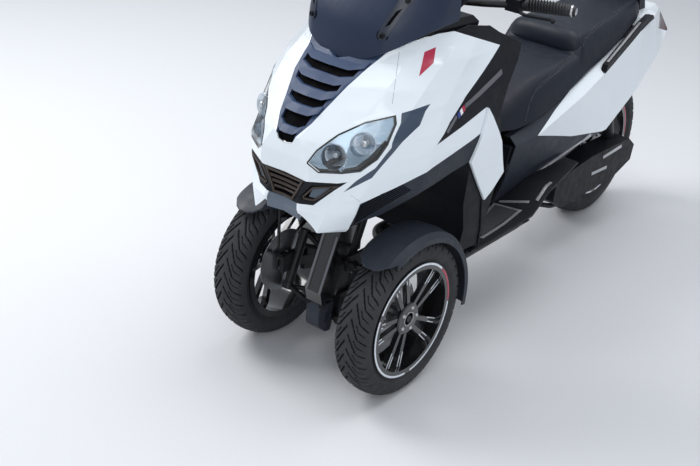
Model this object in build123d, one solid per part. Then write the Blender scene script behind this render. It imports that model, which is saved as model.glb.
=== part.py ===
"""Three-wheeled tilting scooter: two steered wheels in front, one driven wheel behind.

+X points forward, +Y to the rider's left and +Z up. The origin is on the ground, under the
middle of the length. Lengths are millimetres and angles are degrees.
"""
from build123d import *
from math import cos, hypot, radians, sin, tan
import os

# Driving dimensions of the running gear
WHEELBASE = 1500
TRACK = 465
FRONT_AXLE_X = 810
FRONT_TYRE_R = 242
FRONT_TYRE_W = 110
FRONT_BEAD_R = 165
REAR_TYRE_R = 276
REAR_TYRE_W = 140
REAR_BEAD_R = 178
CASTER = 22
KINGPIN_INSET = 47
KINGPIN_SETBACK = 33
STEER_ARM = 80
STEER_ARM_Z = 285

# Walls, gaps and fits
PANEL_T = 4
PANEL_GAP = 2
SEAT_GAP = 0.3
PIN_FIT = 0.3
OPEN_END = 60

# Places that follow from the running gear
REAR_AXLE_X = FRONT_AXLE_X - WHEELBASE
WHEEL_Y = TRACK / 2
KINGPIN_Y = WHEEL_Y - KINGPIN_INSET
KINGPIN_X = FRONT_AXLE_X - KINGPIN_SETBACK
CASTER_UP = Vector(-sin(radians(CASTER)), 0, cos(radians(CASTER)))
CASTER_BACK = Vector(-cos(radians(CASTER)), 0, -sin(radians(CASTER)))

# The seat, the tail, the engine and the rear suspension are drawn for a rear axle at this x,
# and move with the axle
DRAWN_AXLE_X = -690
REAR_MOVE = REAR_AXLE_X - DRAWN_AXLE_X
DRAWN_TAIL_X = -987

# Everything is drawn from an origin that is this far behind the middle of the whole length
NOSE_X = 1078
MIDDLE_X = (NOSE_X + DRAWN_TAIL_X + REAR_MOVE) / 2


def steer_axis_x(z):
    """Fore-and-aft place of the steering axes at a height."""
    return KINGPIN_X - (z - FRONT_TYRE_R) * tan(radians(CASTER))


# Tools

def side_prism(outline, y_from, y_to):
    """Solid from an (x, z) outline seen from the side."""
    face = make_face(Polyline(*[(x, y_from, z) for x, z in outline], close=True))
    return extrude(face, amount=y_to - y_from, dir=(0, 1, 0))


def front_prism(outline, x_from, x_to):
    """Solid from a (y, z) outline seen from the front."""
    face = make_face(Polyline(*[(x_from, y, z) for y, z in outline], close=True))
    return extrude(face, amount=x_to - x_from, dir=(1, 0, 0))


def plan_prism(outline, z_from, z_to):
    """Solid from an (x, y) outline seen from above."""
    face = make_face(Polyline(*[(x, y, z_from) for x, y in outline], close=True))
    return extrude(face, amount=z_to - z_from, dir=(0, 0, 1))


def ellipse_outline(x, y, half_x, half_y, turns):
    """Points on a quarter ellipse or more, for each turn in degrees from +x."""
    return [(x + half_x * cos(radians(turn)), y + half_y * sin(radians(turn))) for turn in turns]


def flipped(shape):
    """The same shape on the other side of the vehicle."""
    return mirror(shape, about=Plane.XZ)


def pair(shape):
    """Left and right copies, as solids of one node."""
    return Compound(children=[solid for half in (shape, flipped(shape)) for solid in half.solids()])


def moved(shape, distance):
    """The same shape moved along the vehicle, solid by solid."""
    solids = [Pos(distance, 0, 0) * solid for solid in shape.solids()]
    return solids[0] if len(solids) == 1 else Compound(children=solids)


def both_sides(shape):
    """A left shape together with its right copy, as one shape."""
    return shape + flipped(shape)


def rod(start, end, radius):
    """Round bar between two points."""
    start, end = Vector(*start), Vector(*end)
    return Solid.make_cylinder(radius, (end - start).length, Plane(origin=start, z_dir=end - start))


def bent_tube(points, radius, bend):
    """Round bar along straight runs with rounded corners."""
    path = FilletPolyline(*points, radius=bend)
    return sweep(Plane(origin=path @ 0, z_dir=path % 0) * Circle(radius), path=path)


def ring_solid(profile, x, y, z):
    """Body of revolution about a crosswise axle, from (y, radius) points."""
    face = make_face(Polyline(*[(0, dy, r) for dy, r in profile], close=True))
    return Pos(x, y, z) * revolve(face, Axis.Y)


def inset(points, depth):
    """Closed outline moved inwards by a depth, corner for corner."""
    area = sum(a[0] * b[1] - b[0] * a[1] for a, b in zip(points, points[1:] + points[:1]))
    turn = 1 if area > 0 else -1
    moved = []
    for before, here, after in zip(points[-1:] + points[:-1], points, points[1:] + points[:1]):
        lines = []
        for start, end in ((before, here), (here, after)):
            length = hypot(end[0] - start[0], end[1] - start[1])
            nx = -turn * (end[1] - start[1]) / length
            ny = turn * (end[0] - start[0]) / length
            lines.append((nx, ny, nx * start[0] + ny * start[1] + depth))
        (a, b, c), (d, e, f) = lines
        det = a * e - b * d
        if abs(det) < 1e-6:
            moved.append((here[0] + a * depth, here[1] + b * depth))
        else:
            moved.append(((c * e - b * f) / det, (a * f - c * d) / det))
    return moved


def mirror_outline(outline):
    """Full outline from the half that starts and ends on the centre line."""
    return outline + [(-a, b) for a, b in reversed(outline) if a > 0]


def level_loft(levels, depth=0):
    """Loft straight faces through plan outlines, one for each height."""
    faces = []
    for z, half in levels:
        outline = half + [(x, -y) for x, y in reversed(half) if y > 0]
        faces.append(make_face(Polyline(*[(x, y, z) for x, y in inset(outline, depth)], close=True)))
    return loft(faces, ruled=True)


def lengthened(levels):
    """Plan outlines with their rear points moved back along the last edge."""
    longer = []
    for z, half in levels:
        (ax, ay), (bx, by) = half[-2:]
        longer.append((z, half[:-1] + [(bx - OPEN_END, by + OPEN_END * (by - ay) / (ax - bx))]))
    return longer


def open_skin(levels, thickness, depth=0):
    """Skin of a level loft, without a top, a bottom or a rear end."""
    return level_loft(levels, depth) - level_loft(lengthened(levels), depth + thickness)


def station_loft(stations, depth=0):
    """Loft straight faces through cross-sections, one for each place along the vehicle."""
    faces = []
    for x, half in stations:
        outline = half + [(-y, z) for y, z in reversed(half) if y > 0]
        faces.append(make_face(Polyline(*[(x, y, z) for y, z in inset(outline, depth)], close=True)))
    return loft(faces, ruled=True)


# Wheels

BEAD_INSET = 10
RIM_T = 7
RIM_LIP = 13
RIM_LIP_T = 6
SPOKE_PAIRS = 5
DISC_R = 100
DISC_T = 4
HUB_R = 28
AXLE_R = 10


def tyre(radius, width, bead_r, y, x):
    """Solid tyre on its bead seats, with a crowned tread."""
    half = width / 2
    tread = radius - bead_r
    bead = half - BEAD_INSET
    side = [
        (bead, bead_r),
        (bead, bead_r + RIM_LIP + 1),
        (half, bead_r + 0.42 * tread),
        (half * 0.92, bead_r + 0.76 * tread),
        (half * 0.52, bead_r + 0.95 * tread),
    ]
    profile = side + [(0, radius)] + [(-dy, r) for dy, r in reversed(side)]
    return ring_solid(profile, x, y, radius)


def rim(radius, width, bead_r, y, x, side):
    """Barrel with lips, double spokes and a hub; side is +1 with the spokes to the left."""
    half = width / 2 - BEAD_INSET + SEAT_GAP
    lip = half + RIM_LIP_T
    seat_r = bead_r - SEAT_GAP
    barrel_r = seat_r - RIM_T
    profile = [(-lip, barrel_r), (-lip, seat_r + RIM_LIP), (-half, seat_r + RIM_LIP), (-half, seat_r),
               (half, seat_r), (half, seat_r + RIM_LIP), (lip, seat_r + RIM_LIP), (lip, barrel_r)]
    body = ring_solid([(side * dy, r) for dy, r in profile], 0, 0, 0)
    spoke_t = 16
    spoke_y = 16
    for number in range(SPOKE_PAIRS):
        for lean in (-1, 1):
            spoke = side_prism([(HUB_R - 6, lean * 4), (HUB_R - 6, lean * 16),
                                (barrel_r + 1, lean * 38), (barrel_r + 1, lean * 20)],
                               side * spoke_y, side * (spoke_y + spoke_t))
            body += Rot(0, number * 360 / SPOKE_PAIRS, 0) * spoke
    hub = ring_solid([(-side * 26, AXLE_R + PIN_FIT), (-side * 26, HUB_R),
                      (side * 34, HUB_R), (side * 34, AXLE_R + PIN_FIT)], 0, 0, 0)
    return Pos(x, y, radius) * (body + hub)


def brake_disc(y, x, z):
    """Flat brake disc carried on the hub."""
    return ring_solid([(-DISC_T / 2, HUB_R + SEAT_GAP), (-DISC_T / 2, DISC_R),
                       (DISC_T / 2, DISC_R), (DISC_T / 2, HUB_R + SEAT_GAP)], x, y, z)


def wheels():
    nodes = {}
    for name, side in (("left", 1), ("right", -1)):
        nodes[f"tyre_front_{name}"] = tyre(FRONT_TYRE_R, FRONT_TYRE_W, FRONT_BEAD_R, side * WHEEL_Y,
                                           FRONT_AXLE_X)
        wheel = rim(FRONT_TYRE_R, FRONT_TYRE_W, FRONT_BEAD_R, side * WHEEL_Y, FRONT_AXLE_X, side)
        nodes[f"rim_front_{name}"] = wheel
        nodes[f"brake_disc_{name}"] = brake_disc(side * (WHEEL_Y - 22), FRONT_AXLE_X, FRONT_TYRE_R)
    nodes["tyre_rear"] = tyre(REAR_TYRE_R, REAR_TYRE_W, REAR_BEAD_R, 0, REAR_AXLE_X)
    nodes["rim_rear"] = rim(REAR_TYRE_R, REAR_TYRE_W, REAR_BEAD_R, 0, REAR_AXLE_X, 1)
    return nodes


# Front suspension and steering

POST_R = 15
PIN_R = 10
EYE_R = 18
EYE_T = 20
STEER_ARM_R = 7
JOINT_R = 11
JOINT_H = 8
ROD_EYE_T = 16
UPPER_EYE_Z = 322
LOWER_EYE_Z = 162
ARM_PIVOT_Y = 52
ARM_END_Y = KINGPIN_Y - 35
TIE_ROD_R = 6
SPINE_HALF_W = 35
SPINE_Z = (160, 232)
BAR_Z = 1040
STEM_R = 14


def along_steer(z, y):
    """Point on a steering axis."""
    return Vector(steer_axis_x(z), y, z)


def knuckle():
    """Left steered upright: pin, stub axle, steering arm and brake calliper."""
    low, high = along_steer(LOWER_EYE_Z, KINGPIN_Y), along_steer(UPPER_EYE_Z, KINGPIN_Y)
    half_eye = EYE_T / 2 + PIN_FIT
    body = rod(low + CASTER_UP * half_eye, high - CASTER_UP * half_eye, POST_R)
    body += rod(low - CASTER_UP * half_eye, high + CASTER_UP * half_eye, PIN_R)
    plate_x = (KINGPIN_X - 12, FRONT_AXLE_X + 26)
    body += Pos(sum(plate_x) / 2, KINGPIN_Y + 8, FRONT_TYRE_R) * Box(plate_x[1] - plate_x[0], 16, 56)
    body += rod((FRONT_AXLE_X, KINGPIN_Y, FRONT_TYRE_R), (FRONT_AXLE_X, WHEEL_Y + 38, FRONT_TYRE_R), AXLE_R)
    root = along_steer(STEER_ARM_Z, KINGPIN_Y)
    tip = Vector(0, ARM_END_Y - KINGPIN_Y, 0) + root + CASTER_BACK * STEER_ARM
    body += rod(root, tip, STEER_ARM_R)
    body += rod(tip - CASTER_UP * JOINT_H, tip + CASTER_UP * JOINT_H, JOINT_R)
    disc_y = WHEEL_Y - 22
    calliper = Box(66, 44, 40) - Pos(0, 0, -8) * Box(80, DISC_T + 10, 40)
    calliper = Pos(0, disc_y, 0) * (Pos(0, 0, DISC_R + 6) * calliper)
    turn = Pos(FRONT_AXLE_X, 0, FRONT_TYRE_R) * Rot(0, -105, 0)
    body += turn * calliper
    body += turn * (Pos(0, KINGPIN_Y + 8, 60) * Box(30, 14, 90))
    stay = bent_tube([(FRONT_AXLE_X + 10, KINGPIN_Y + 6, FRONT_TYRE_R + 15),
                      (FRONT_AXLE_X + 70, KINGPIN_Y + 6, FRONT_TYRE_R + 60),
                      (FRONT_AXLE_X + 76, WHEEL_Y - 66, FRONT_TYRE_R + 90),
                      (FRONT_AXLE_X + 80, WHEEL_Y - 66, FRONT_TYRE_R + 225)], 5, 10)
    return body + stay


GUARD_GAP = 28
GUARD_T = 4
GUARD_HALF_W = 64
GUARD_LEAF_L = 85
GUARD_FROM = 52
GUARD_TO = 190


def mudguard():
    """Left front mudguard: a crowned band over the tyre with a rounded leaf at the front."""
    outer = FRONT_TYRE_R + GUARD_GAP + GUARD_T
    skirt = outer - 34
    inner_w = GUARD_HALF_W - GUARD_T
    profile = [(-GUARD_HALF_W, skirt), (-GUARD_HALF_W, outer - 18), (-GUARD_HALF_W * 0.75, outer - 5),
               (0, outer), (GUARD_HALF_W * 0.75, outer - 5),
                (GUARD_HALF_W, outer - 18), (GUARD_HALF_W, skirt),
               (inner_w, skirt), (inner_w, outer - 20), (inner_w * 0.75, outer - 5 - GUARD_T),
               (0, outer - GUARD_T), (-inner_w * 0.75, outer - 5 - GUARD_T), (-inner_w, outer - 20),
               (-inner_w, skirt)]
    face = make_face(Polyline(*[(r, dy, 0) for dy, r in profile], close=True))
    band = revolve(face, Axis.Y, GUARD_TO - GUARD_FROM)
    band = Rot(0, -GUARD_TO, 0) * band
    band = Pos(FRONT_AXLE_X, WHEEL_Y, FRONT_TYRE_R) * band
    rear_x = FRONT_AXLE_X - outer - 5
    front_x = FRONT_AXLE_X + outer * cos(radians(GUARD_FROM))
    leaf_x = front_x - GUARD_LEAF_L
    leaf = ellipse_outline(leaf_x, WHEEL_Y, GUARD_LEAF_L, GUARD_HALF_W + 1, range(90, -91, -20))
    keep = plan_prism([(rear_x, WHEEL_Y - 10), (rear_x, WHEEL_Y + 80), (leaf_x, WHEEL_Y + 80)] + leaf
                      + [(leaf_x, WHEEL_Y - 80), (FRONT_AXLE_X - 60, WHEEL_Y - 80)], 0, 600)
    return band & keep


def wishbone(z, x_front, x_rear):
    """Left arm from two frame pivots to an eye on the steering pin."""
    eye = along_steer(z, KINGPIN_Y)
    tilt = Plane(origin=eye, z_dir=CASTER_UP)
    ring = Solid.make_cylinder(EYE_R, EYE_T, tilt.offset(-EYE_T / 2))
    bore = Solid.make_cylinder(PIN_R + PIN_FIT, EYE_T + 2, tilt.offset(-EYE_T / 2 - 1))
    body = ring
    for x in (x_front, x_rear):
        body += rod((x, ARM_PIVOT_Y, z), (eye.X, KINGPIN_Y - PIN_R - 3, z), 8)
        body += rod((x - 12, ARM_PIVOT_Y, z), (x + 12, ARM_PIVOT_Y, z), 13)
    for way in (-1, 1):
        face = eye + CASTER_UP * (way * EYE_T / 2)
        body -= rod(face, face + CASTER_UP * (way * 40), POST_R + 2)
    return body - bore


def steering():
    nodes = {}
    left = knuckle()
    nodes["knuckle_left"] = left
    nodes["knuckle_right"] = flipped(left)
    guard = mudguard()
    nodes["mudguard_left"] = guard
    nodes["mudguard_right"] = flipped(guard)
    lower = wishbone(LOWER_EYE_Z, 850, 740)
    upper = wishbone(UPPER_EYE_Z, 800, 690)
    nodes["lower_wishbones"] = pair(lower)
    nodes["upper_wishbones"] = pair(upper)
    root = along_steer(STEER_ARM_Z, 0)
    tip = root + CASTER_BACK * STEER_ARM
    eye_low = tip + CASTER_UP * (JOINT_H + PIN_FIT)
    eye = rod(eye_low, eye_low + CASTER_UP * ROD_EYE_T, JOINT_R)
    track_rod = rod((tip.X, -ARM_END_Y, tip.Z), (tip.X, ARM_END_Y, tip.Z), TIE_ROD_R)
    lift = CASTER_UP * (JOINT_H + PIN_FIT + ROD_EYE_T / 2)
    track_rod = Pos(lift.X, 0, lift.Z) * track_rod
    for y in (-ARM_END_Y, 0, ARM_END_Y):
        track_rod += Pos(0, y, 0) * eye
    nodes["track_rod"] = track_rod
    top = along_steer(BAR_Z, 0)
    stem = rod(root - CASTER_UP * 14, top, STEM_R)
    stem += rod(root, tip, STEER_ARM_R) + rod(tip - CASTER_UP * JOINT_H, tip + CASTER_UP * JOINT_H, JOINT_R)
    nodes["steering_stem"] = stem
    return nodes


# Handlebar

GRIP_END = (336, 376, 1081)
GRIP_L = 125
GRIP_R = 17
BAR_R = 11


def bar_half(radius):
    """Left half of the handlebar, and the inner end of its grip."""
    top = along_steer(BAR_Z, 0)
    grip_in = (GRIP_END[0] + 34, GRIP_END[1] - GRIP_L, GRIP_END[2] - 8)
    tube = bent_tube([(top.X - 2, -2, BAR_Z + 14), (top.X, 60, BAR_Z + 16),
                      (top.X - 30, 150, BAR_Z + 24), grip_in],
                     radius, 20)
    return tube + rod(grip_in, GRIP_END, radius), grip_in


def handlebar():
    nodes = {}
    top = along_steer(BAR_Z, 0)
    side, grip_in = bar_half(BAR_R)
    bore, _ = bar_half(BAR_R + PIN_FIT)
    nodes["handlebar"] = both_sides(side) + rod(top, top + CASTER_UP * 28, 24)
    grip = rod(grip_in, GRIP_END, GRIP_R)
    weight = rod(GRIP_END, (GRIP_END[0] - 3, GRIP_END[1] + 14, GRIP_END[2]), 14)
    nodes["grips"] = pair(grip + weight - bore)
    lever = bent_tube([(GRIP_END[0] + 55, GRIP_END[1] - 150, GRIP_END[2] - 22),
                       (GRIP_END[0] + 66, GRIP_END[1] - 105, GRIP_END[2] - 26),
                       (GRIP_END[0] + 48, GRIP_END[1] - 22, GRIP_END[2] - 24)], 5, 15)
    case_at = Pos(GRIP_END[0] + 42, GRIP_END[1] - 150, GRIP_END[2] - 9)
    nodes["bar_controls"] = pair(case_at * Box(52, 42, 36) + lever - bore - grip)
    return nodes


# Front body

# Plan outlines of the front body, a row for each height: (x, half width) on the centre line, at the
# edge of the louvre, on the hood, on the shoulder crease, on the side and behind the rear edge
NOSE_LEVELS = [
    (330, [(600, 0), (598, 60), (595, 120), (590, 180), (560, 228), (300, 256)]),
    (545, [(1060, 0), (1060, 60), (1056, 112), (975, 155), (800, 218), (300, 313)]),
    (600, [(1070, 0), (1078, 62), (1050, 130), (985, 174), (800, 238), (300, 311)]),
    (640, [(1064, 0), (1070, 50), (1044, 136), (985, 186), (800, 252), (300, 309)]),
    (700, [(1070, 0), (1072, 85), (1036, 152), (960, 204), (797, 266), (300, 310)]),
    (745, [(1078, 0), (1077, 80), (1026, 164), (936, 216), (792, 274), (300, 311)]),
    (800, [(1078, 0), (1074, 45), (1012, 152), (922, 224), (782, 276), (300, 307)]),
    (870, [(1012, 0), (1004, 66), (948, 168), (866, 236), (745, 268), (300, 296)]),
    (925, [(950, 0), (950, 85), (890, 176), (806, 238), (690, 258), (300, 270)]),
    (975, [(880, 0), (868, 112), (818, 172), (728, 232), (630, 250), (300, 239)]),
    (1010, [(846, 0), (824, 132), (764, 180), (655, 222), (590, 238), (300, 226)]),
    (1050, [(800, 0), (784, 150), (716, 190), (600, 212), (560, 216), (300, 214)]),
]
# Rear edge of the side panels seen from the side, from the top
REAR_EDGE = [(545, 1060), (463, 1010), (356, 960), (397, 925), (463, 870), (500, 800), (490, 745), (480, 700),
             (453, 640), (440, 600), (455, 545), (425, 290)]
# Half outlines seen from the front, (y, z)
COVER_EDGE = [(0, 967), (75, 990), (129, 1013), (155, 1028), (189, 1049), (207, 1068), (212, 1110),
              (260, 1170), (0, 1170)]
LOUVRE_OUTLINE = [(0, 774), (24, 780), (36, 805), (55, 835), (70, 875), (90, 925), (105, 965),
                  (125, 1003), (0, 1003)]
MOUTH_OUTLINE = [(0, 618), (50, 617), (95, 622), (167, 700), (72, 688), (0, 690)]
SKID_OUTLINE = [(0, 573), (60, 567), (50, 617), (0, 618)]
LAMP_OUTLINE = [(77, 743), (90, 778), (123, 821), (167, 854), (214, 870), (222, 848), (222, 798), (209, 758),
                (186, 727), (155, 725), (105, 719)]
DRL_OUTLINE = [(160, 670), (180, 702), (207, 735), (226, 788), (228, 850), (222, 874), (250, 886), (250, 836),
               (229, 775), (204, 708)]
LIP_OUTLINE = [(0, 573), (62, 590), (110, 544), (150, 530), (300, 524), (300, 300), (0, 300)]
# Slots of the louvre: lower and upper height, and half widths of their flat middle and of their ends
LOUVRE_SLOTS = [(760, 804, 12, 28), (817, 850, 22, 42), (864, 887, 30, 57), (901, 920, 38, 71),
                (934, 954, 46, 86)]
SLOT_RISE = 9
# Slots of the grille: lower and upper height and half width
GRILLE_SLOTS = [(627, 635, 30), (642, 650, 38), (657, 664, 47), (671, 678, 56)]
POCKET_OUTLINE = [(88, 678), (58, 640), (64, 630), (92, 632), (150, 692)]
# Outlines seen from the side, (x, z)
WING_OUTLINE = [(977, 632), (869, 667), (778, 703), (581, 758), (611, 674), (675, 660), (792, 626),
                (894, 574), (977, 556)]
INFILL_OUTLINE = [(645, 1041), (600, 1060), (300, 1060), (300, 290), (520, 290), (611, 674), (581, 758),
                  (565, 829), (778, 773), (728, 825), (660, 878), (556, 932), (469, 976)]
ARCH_OUTLINE = [(974, 290), (974, 530), (977, 556), (894, 574), (792, 626), (675, 660), (611, 674),
                (495, 517), (450, 400), (425, 290)]
TOP_OUTLINE = [(1100, 1100), (1100, 1013), (806, 1013), (773, 1027), (739, 1038), (699, 1042), (641, 1041),
               (589, 1049), (505, 1033), (380, 1033), (380, 1100)]
SHIELD_OUTLINE = ([(357, 959.7)] + REAR_EDGE[3:-1]
                  + [(430.3, 335), (520, 335), (528, 420), (567, 520), (590, 640), (575, 900), (562, 959.7)])
BLADE_OUTLINE = [(565, 829), (611, 674), (495, 517), (442, 600), (484, 710)]
BLADE_T = 9
LOUVRE_T = 9
BACK_T = 3
BOWL_DEPTH = 42
BOWLS = [(1010, 118, 762, 34), (968, 176, 800, 34)]


def slots(edge):
    """Cutters for the openings between the louvre's bars and between the grille's slats."""
    cutters = []
    for low, high, flat, end in LOUVRE_SLOTS:
        outline = [(0, low), (flat, low), (end, low + SLOT_RISE), (end + 4, high + SLOT_RISE), (flat, high),
                   (0, high)]
        cutters.append(front_prism(mirror_outline(outline), 700, edge))
    for low, high, half in GRILLE_SLOTS:
        outline = [(-half, low), (half, low), (half + 5, high), (-half - 5, high)]
        cutters.append(front_prism(outline, 900, edge))
    cutters.append(both_sides(front_prism(POCKET_OUTLINE, 900, edge)))
    return cutters


def behind_front_body():
    """Everything behind the rear edge of the side panels."""
    return side_prism(REAR_EDGE + [(200, 290), (200, 1060)], -400, 400)


def front_body():
    nodes = {}
    edge = NOSE_X + 70
    shell = open_skin(NOSE_LEVELS, PANEL_T)
    thick = open_skin(NOSE_LEVELS, LOUVRE_T)
    backs = open_skin(NOSE_LEVELS, BACK_T, LOUVRE_T + SEAT_GAP)
    cover = front_prism(inset(mirror_outline(COVER_EDGE), -PANEL_GAP), 500, edge)
    top = side_prism(TOP_OUTLINE, -400, 400)
    lip = front_prism(mirror_outline(LIP_OUTLINE), 900, edge)
    louvre = front_prism(mirror_outline(LOUVRE_OUTLINE), 700, edge) - cover
    mouth = front_prism(mirror_outline(MOUTH_OUTLINE), 900, edge)
    skid = front_prism(mirror_outline(SKID_OUTLINE), 900, edge)
    lamps = both_sides(front_prism(LAMP_OUTLINE, 780, edge))
    drls = both_sides(front_prism(DRL_OUTLINE, 780, edge)) - lamps - mouth
    wings = both_sides(side_prism(WING_OUTLINE, 120, 320))
    infills = both_sides(side_prism(INFILL_OUTLINE, 100, 330))
    arch = side_prism(ARCH_OUTLINE, -330, 330)
    shell = shell - cover - top - behind_front_body()
    nose = shell - louvre - mouth - skid - lamps - drls - wings - infills - arch - (lip - skid)
    nodes["nose_panel"] = nose
    insert = thick & louvre
    grille = thick & mouth
    for cutter in slots(edge):
        insert -= cutter
        grille -= cutter
    nodes["louvre_insert"] = insert
    nodes["mouth_grille"] = grille
    nodes["grille_backs"] = backs & (louvre + mouth)
    nodes["skid_plate"] = shell & skid
    nodes["headlamp_lenses"] = shell & lamps
    nodes["drl_strips"] = shell & drls
    nodes["wing_trims"] = (shell & wings) - drls - lamps - mouth - arch
    nodes["side_infill_panels"] = (shell & infills) - wings - arch
    bowl_block = open_skin(NOSE_LEVELS, BOWL_DEPTH, PANEL_T + SEAT_GAP)
    bowl_block &= both_sides(front_prism(inset(LAMP_OUTLINE, 3), 780, edge))
    for x, y, z, radius in BOWLS:
        bowl_block -= both_sides(Pos(x + 16, y + 8, z) * Sphere(radius))
    nodes["headlamp_bowls"] = bowl_block
    core = level_loft(lengthened(NOSE_LEVELS), PANEL_T + SEAT_GAP)
    hollow = level_loft(lengthened(NOSE_LEVELS), 2 * PANEL_T + SEAT_GAP)
    shield = core & side_prism(SHIELD_OUTLINE, -320, 320)
    shield -= hollow & side_prism(inset(SHIELD_OUTLINE, PANEL_T), -320, 320)
    shield -= rod(along_steer(STEER_ARM_Z, 0), along_steer(HEAD_Z[1] + 20, 0), HEAD_TUBE_R + 6)
    shield -= rod(along_steer(HEAD_Z[1], 0), along_steer(BAR_Z, 0), STEM_R + 7)
    nodes["leg_shield"] = shield
    skin = level_loft(NOSE_LEVELS, -BLADE_T) - level_loft(NOSE_LEVELS, -SEAT_GAP)
    nodes["shield_blades"] = pair(skin & side_prism(BLADE_OUTLINE, 150, 330))
    return nodes


# Screen

SCREEN_AT = (895, 0, 966)
SCREEN_LEAN = 25
SCREEN_R = 330
SCREEN_T = 4
SCREEN_OUTLINE = [(0, 150), (150, 150), (152, 212), (190, 260), (200, 330), (150, 505), (60, 530), (0, 530)]
# Plan outlines of the cover in front of the screen: centre, bracket, edge, side and rear edge
COVER_LEVELS = [
    (940, [(878, 0), (866, 100), (814, 160), (735, 200), (590, 214)]),
    (1049, [(862, 0), (849, 112), (801, 166), (722, 204), (575, 217)]),
    (1160, [(812, 0), (799, 120), (755, 172), (682, 206), (545, 217)]),
]
COVER_BACK_X = 645
# Upper screen bolt: across and up the screen, how far its inner end lies behind the plane, and its length
SCREEN_BOLT = (138, 190, 32)
SCREEN_BOLT_L = 27
BRACKET_OUTLINE = [(100, 1036), (112, 1026), (126, 1032), (132, 1058), (156, 1150), (134, 1150)]
BRACKET_T = 7
DASH_LEVELS = [
    (960, [(830, 0), (800, 112), (735, 172), (560, 196)]),
    (1000, [(812, 0), (785, 112), (730, 176), (535, 200)]),
    (1045, [(790, 0), (765, 112), (712, 180), (525, 202)]),
    (1062, [(770, 0), (745, 100), (697, 166), (540, 190)]),
]
MIRROR_STALK = [(655, 160, 1052), (648, 165, 1082), (604, 182, 1100), (588, 216, 1150), (600, 318, 1215)]
MIRROR_HEAD = (600, 342, 1240)


def screen_plane():
    """Plane of the leaning screen: across, up the screen, and out to the front."""
    lean = radians(SCREEN_LEAN)
    return Plane(origin=SCREEN_AT, x_dir=(0, 1, 0), z_dir=(cos(lean), 0, sin(lean)))


def screen_sheet(outline, thickness):
    """Piece of a bent sheet cut to an outline drawn across and up the screen."""
    plane = screen_plane()
    corners = [plane.from_local_coords((y, s, -150)) for y, s in mirror_outline(outline)]
    face = make_face(Polyline(*corners, close=True))
    block = extrude(face, amount=200, dir=plane.z_dir)
    axis_plane = Plane(origin=plane.from_local_coords((0, 0, -SCREEN_R)), x_dir=(0, 1, 0), z_dir=plane.y_dir)
    tube = Solid.make_cylinder(SCREEN_R, 580, axis_plane.offset(-20))
    tube -= Solid.make_cylinder(SCREEN_R - thickness, 600, axis_plane.offset(-30))
    return tube & block


def screen():
    nodes = {}
    edge = NOSE_X + 70
    cover = open_skin(COVER_LEVELS, PANEL_T) & front_prism(mirror_outline(COVER_EDGE), 500, edge)
    brackets = level_loft(COVER_LEVELS, -BRACKET_T) - level_loft(COVER_LEVELS, 0.5)
    cover += brackets & both_sides(front_prism(BRACKET_OUTLINE, 600, edge))
    cover -= Pos(COVER_BACK_X - 100, 0, 1160) * Box(200, 600, 196)
    top_z = COVER_LEVELS[-1][0]
    room = level_loft(COVER_LEVELS, PANEL_T + SEAT_GAP) + Pos(700, 0, top_z + 200) * Box(800, 800, 400)
    glass = screen_sheet(SCREEN_OUTLINE, SCREEN_T) & room
    nodes["windscreen"] = glass
    plane = screen_plane()
    bolt_y, bolt_s, bolt_drop = SCREEN_BOLT
    bolt_in = plane.from_local_coords((bolt_y, bolt_s, -bolt_drop))
    bolt = rod(bolt_in, plane.from_local_coords((bolt_y, bolt_s, SCREEN_BOLT_L - bolt_drop)), 8)
    nodes["windscreen_cover"] = cover + both_sides(bolt) - glass
    dash = level_loft(DASH_LEVELS)
    dash += both_sides(rod((780, 60, 1010), (900, 60, 1010), 8)) & level_loft(COVER_LEVELS, PANEL_T)
    nodes["dashboard"] = dash
    stalk = bent_tube(MIRROR_STALK, 9, 12) + rod(MIRROR_STALK[0], MIRROR_STALK[1], 17)
    head = Pos(*MIRROR_HEAD) * Rot(0, 12, -12) * Box(46, 150, 92)
    nodes["mirrors"] = pair(stalk + head - dash)
    return nodes


# Frame

COLUMN_SIDE = [(842, 440), (912, 262), (896, 180), (800, 150), (758, 440), (652, 700), (734, 700)]
COLUMN_HALF_W = 24
COLUMN_COVER_W = 30
COLUMN_COVER_SIDE = [(842, 452), (918, 262), (908, 222), (850, 222), (770, 440)]
COLUMN_CAP_W = 40
COLUMN_CAP_SIDE = [(902, 221.7), (918, 190), (912, 152), (892, 130), (870, 128), (864, 150), (864, 221.7)]
RAIL_R = 15
RAIL_Z = 232
RAIL_Y = 150
HEAD_TUBE_R = 24
HEAD_Z = (600, 740)
CROSS_R = 12
# Places of the cross tubes along the rails: x and height
CROSS_TUBES = [(380, RAIL_Z), (-48 + REAR_MOVE, 300), (-570 + REAR_MOVE, 561)]
CAP_OUTLINE = [(840, 36), (890, 36), (912, 24), (918, 0)]


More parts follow.
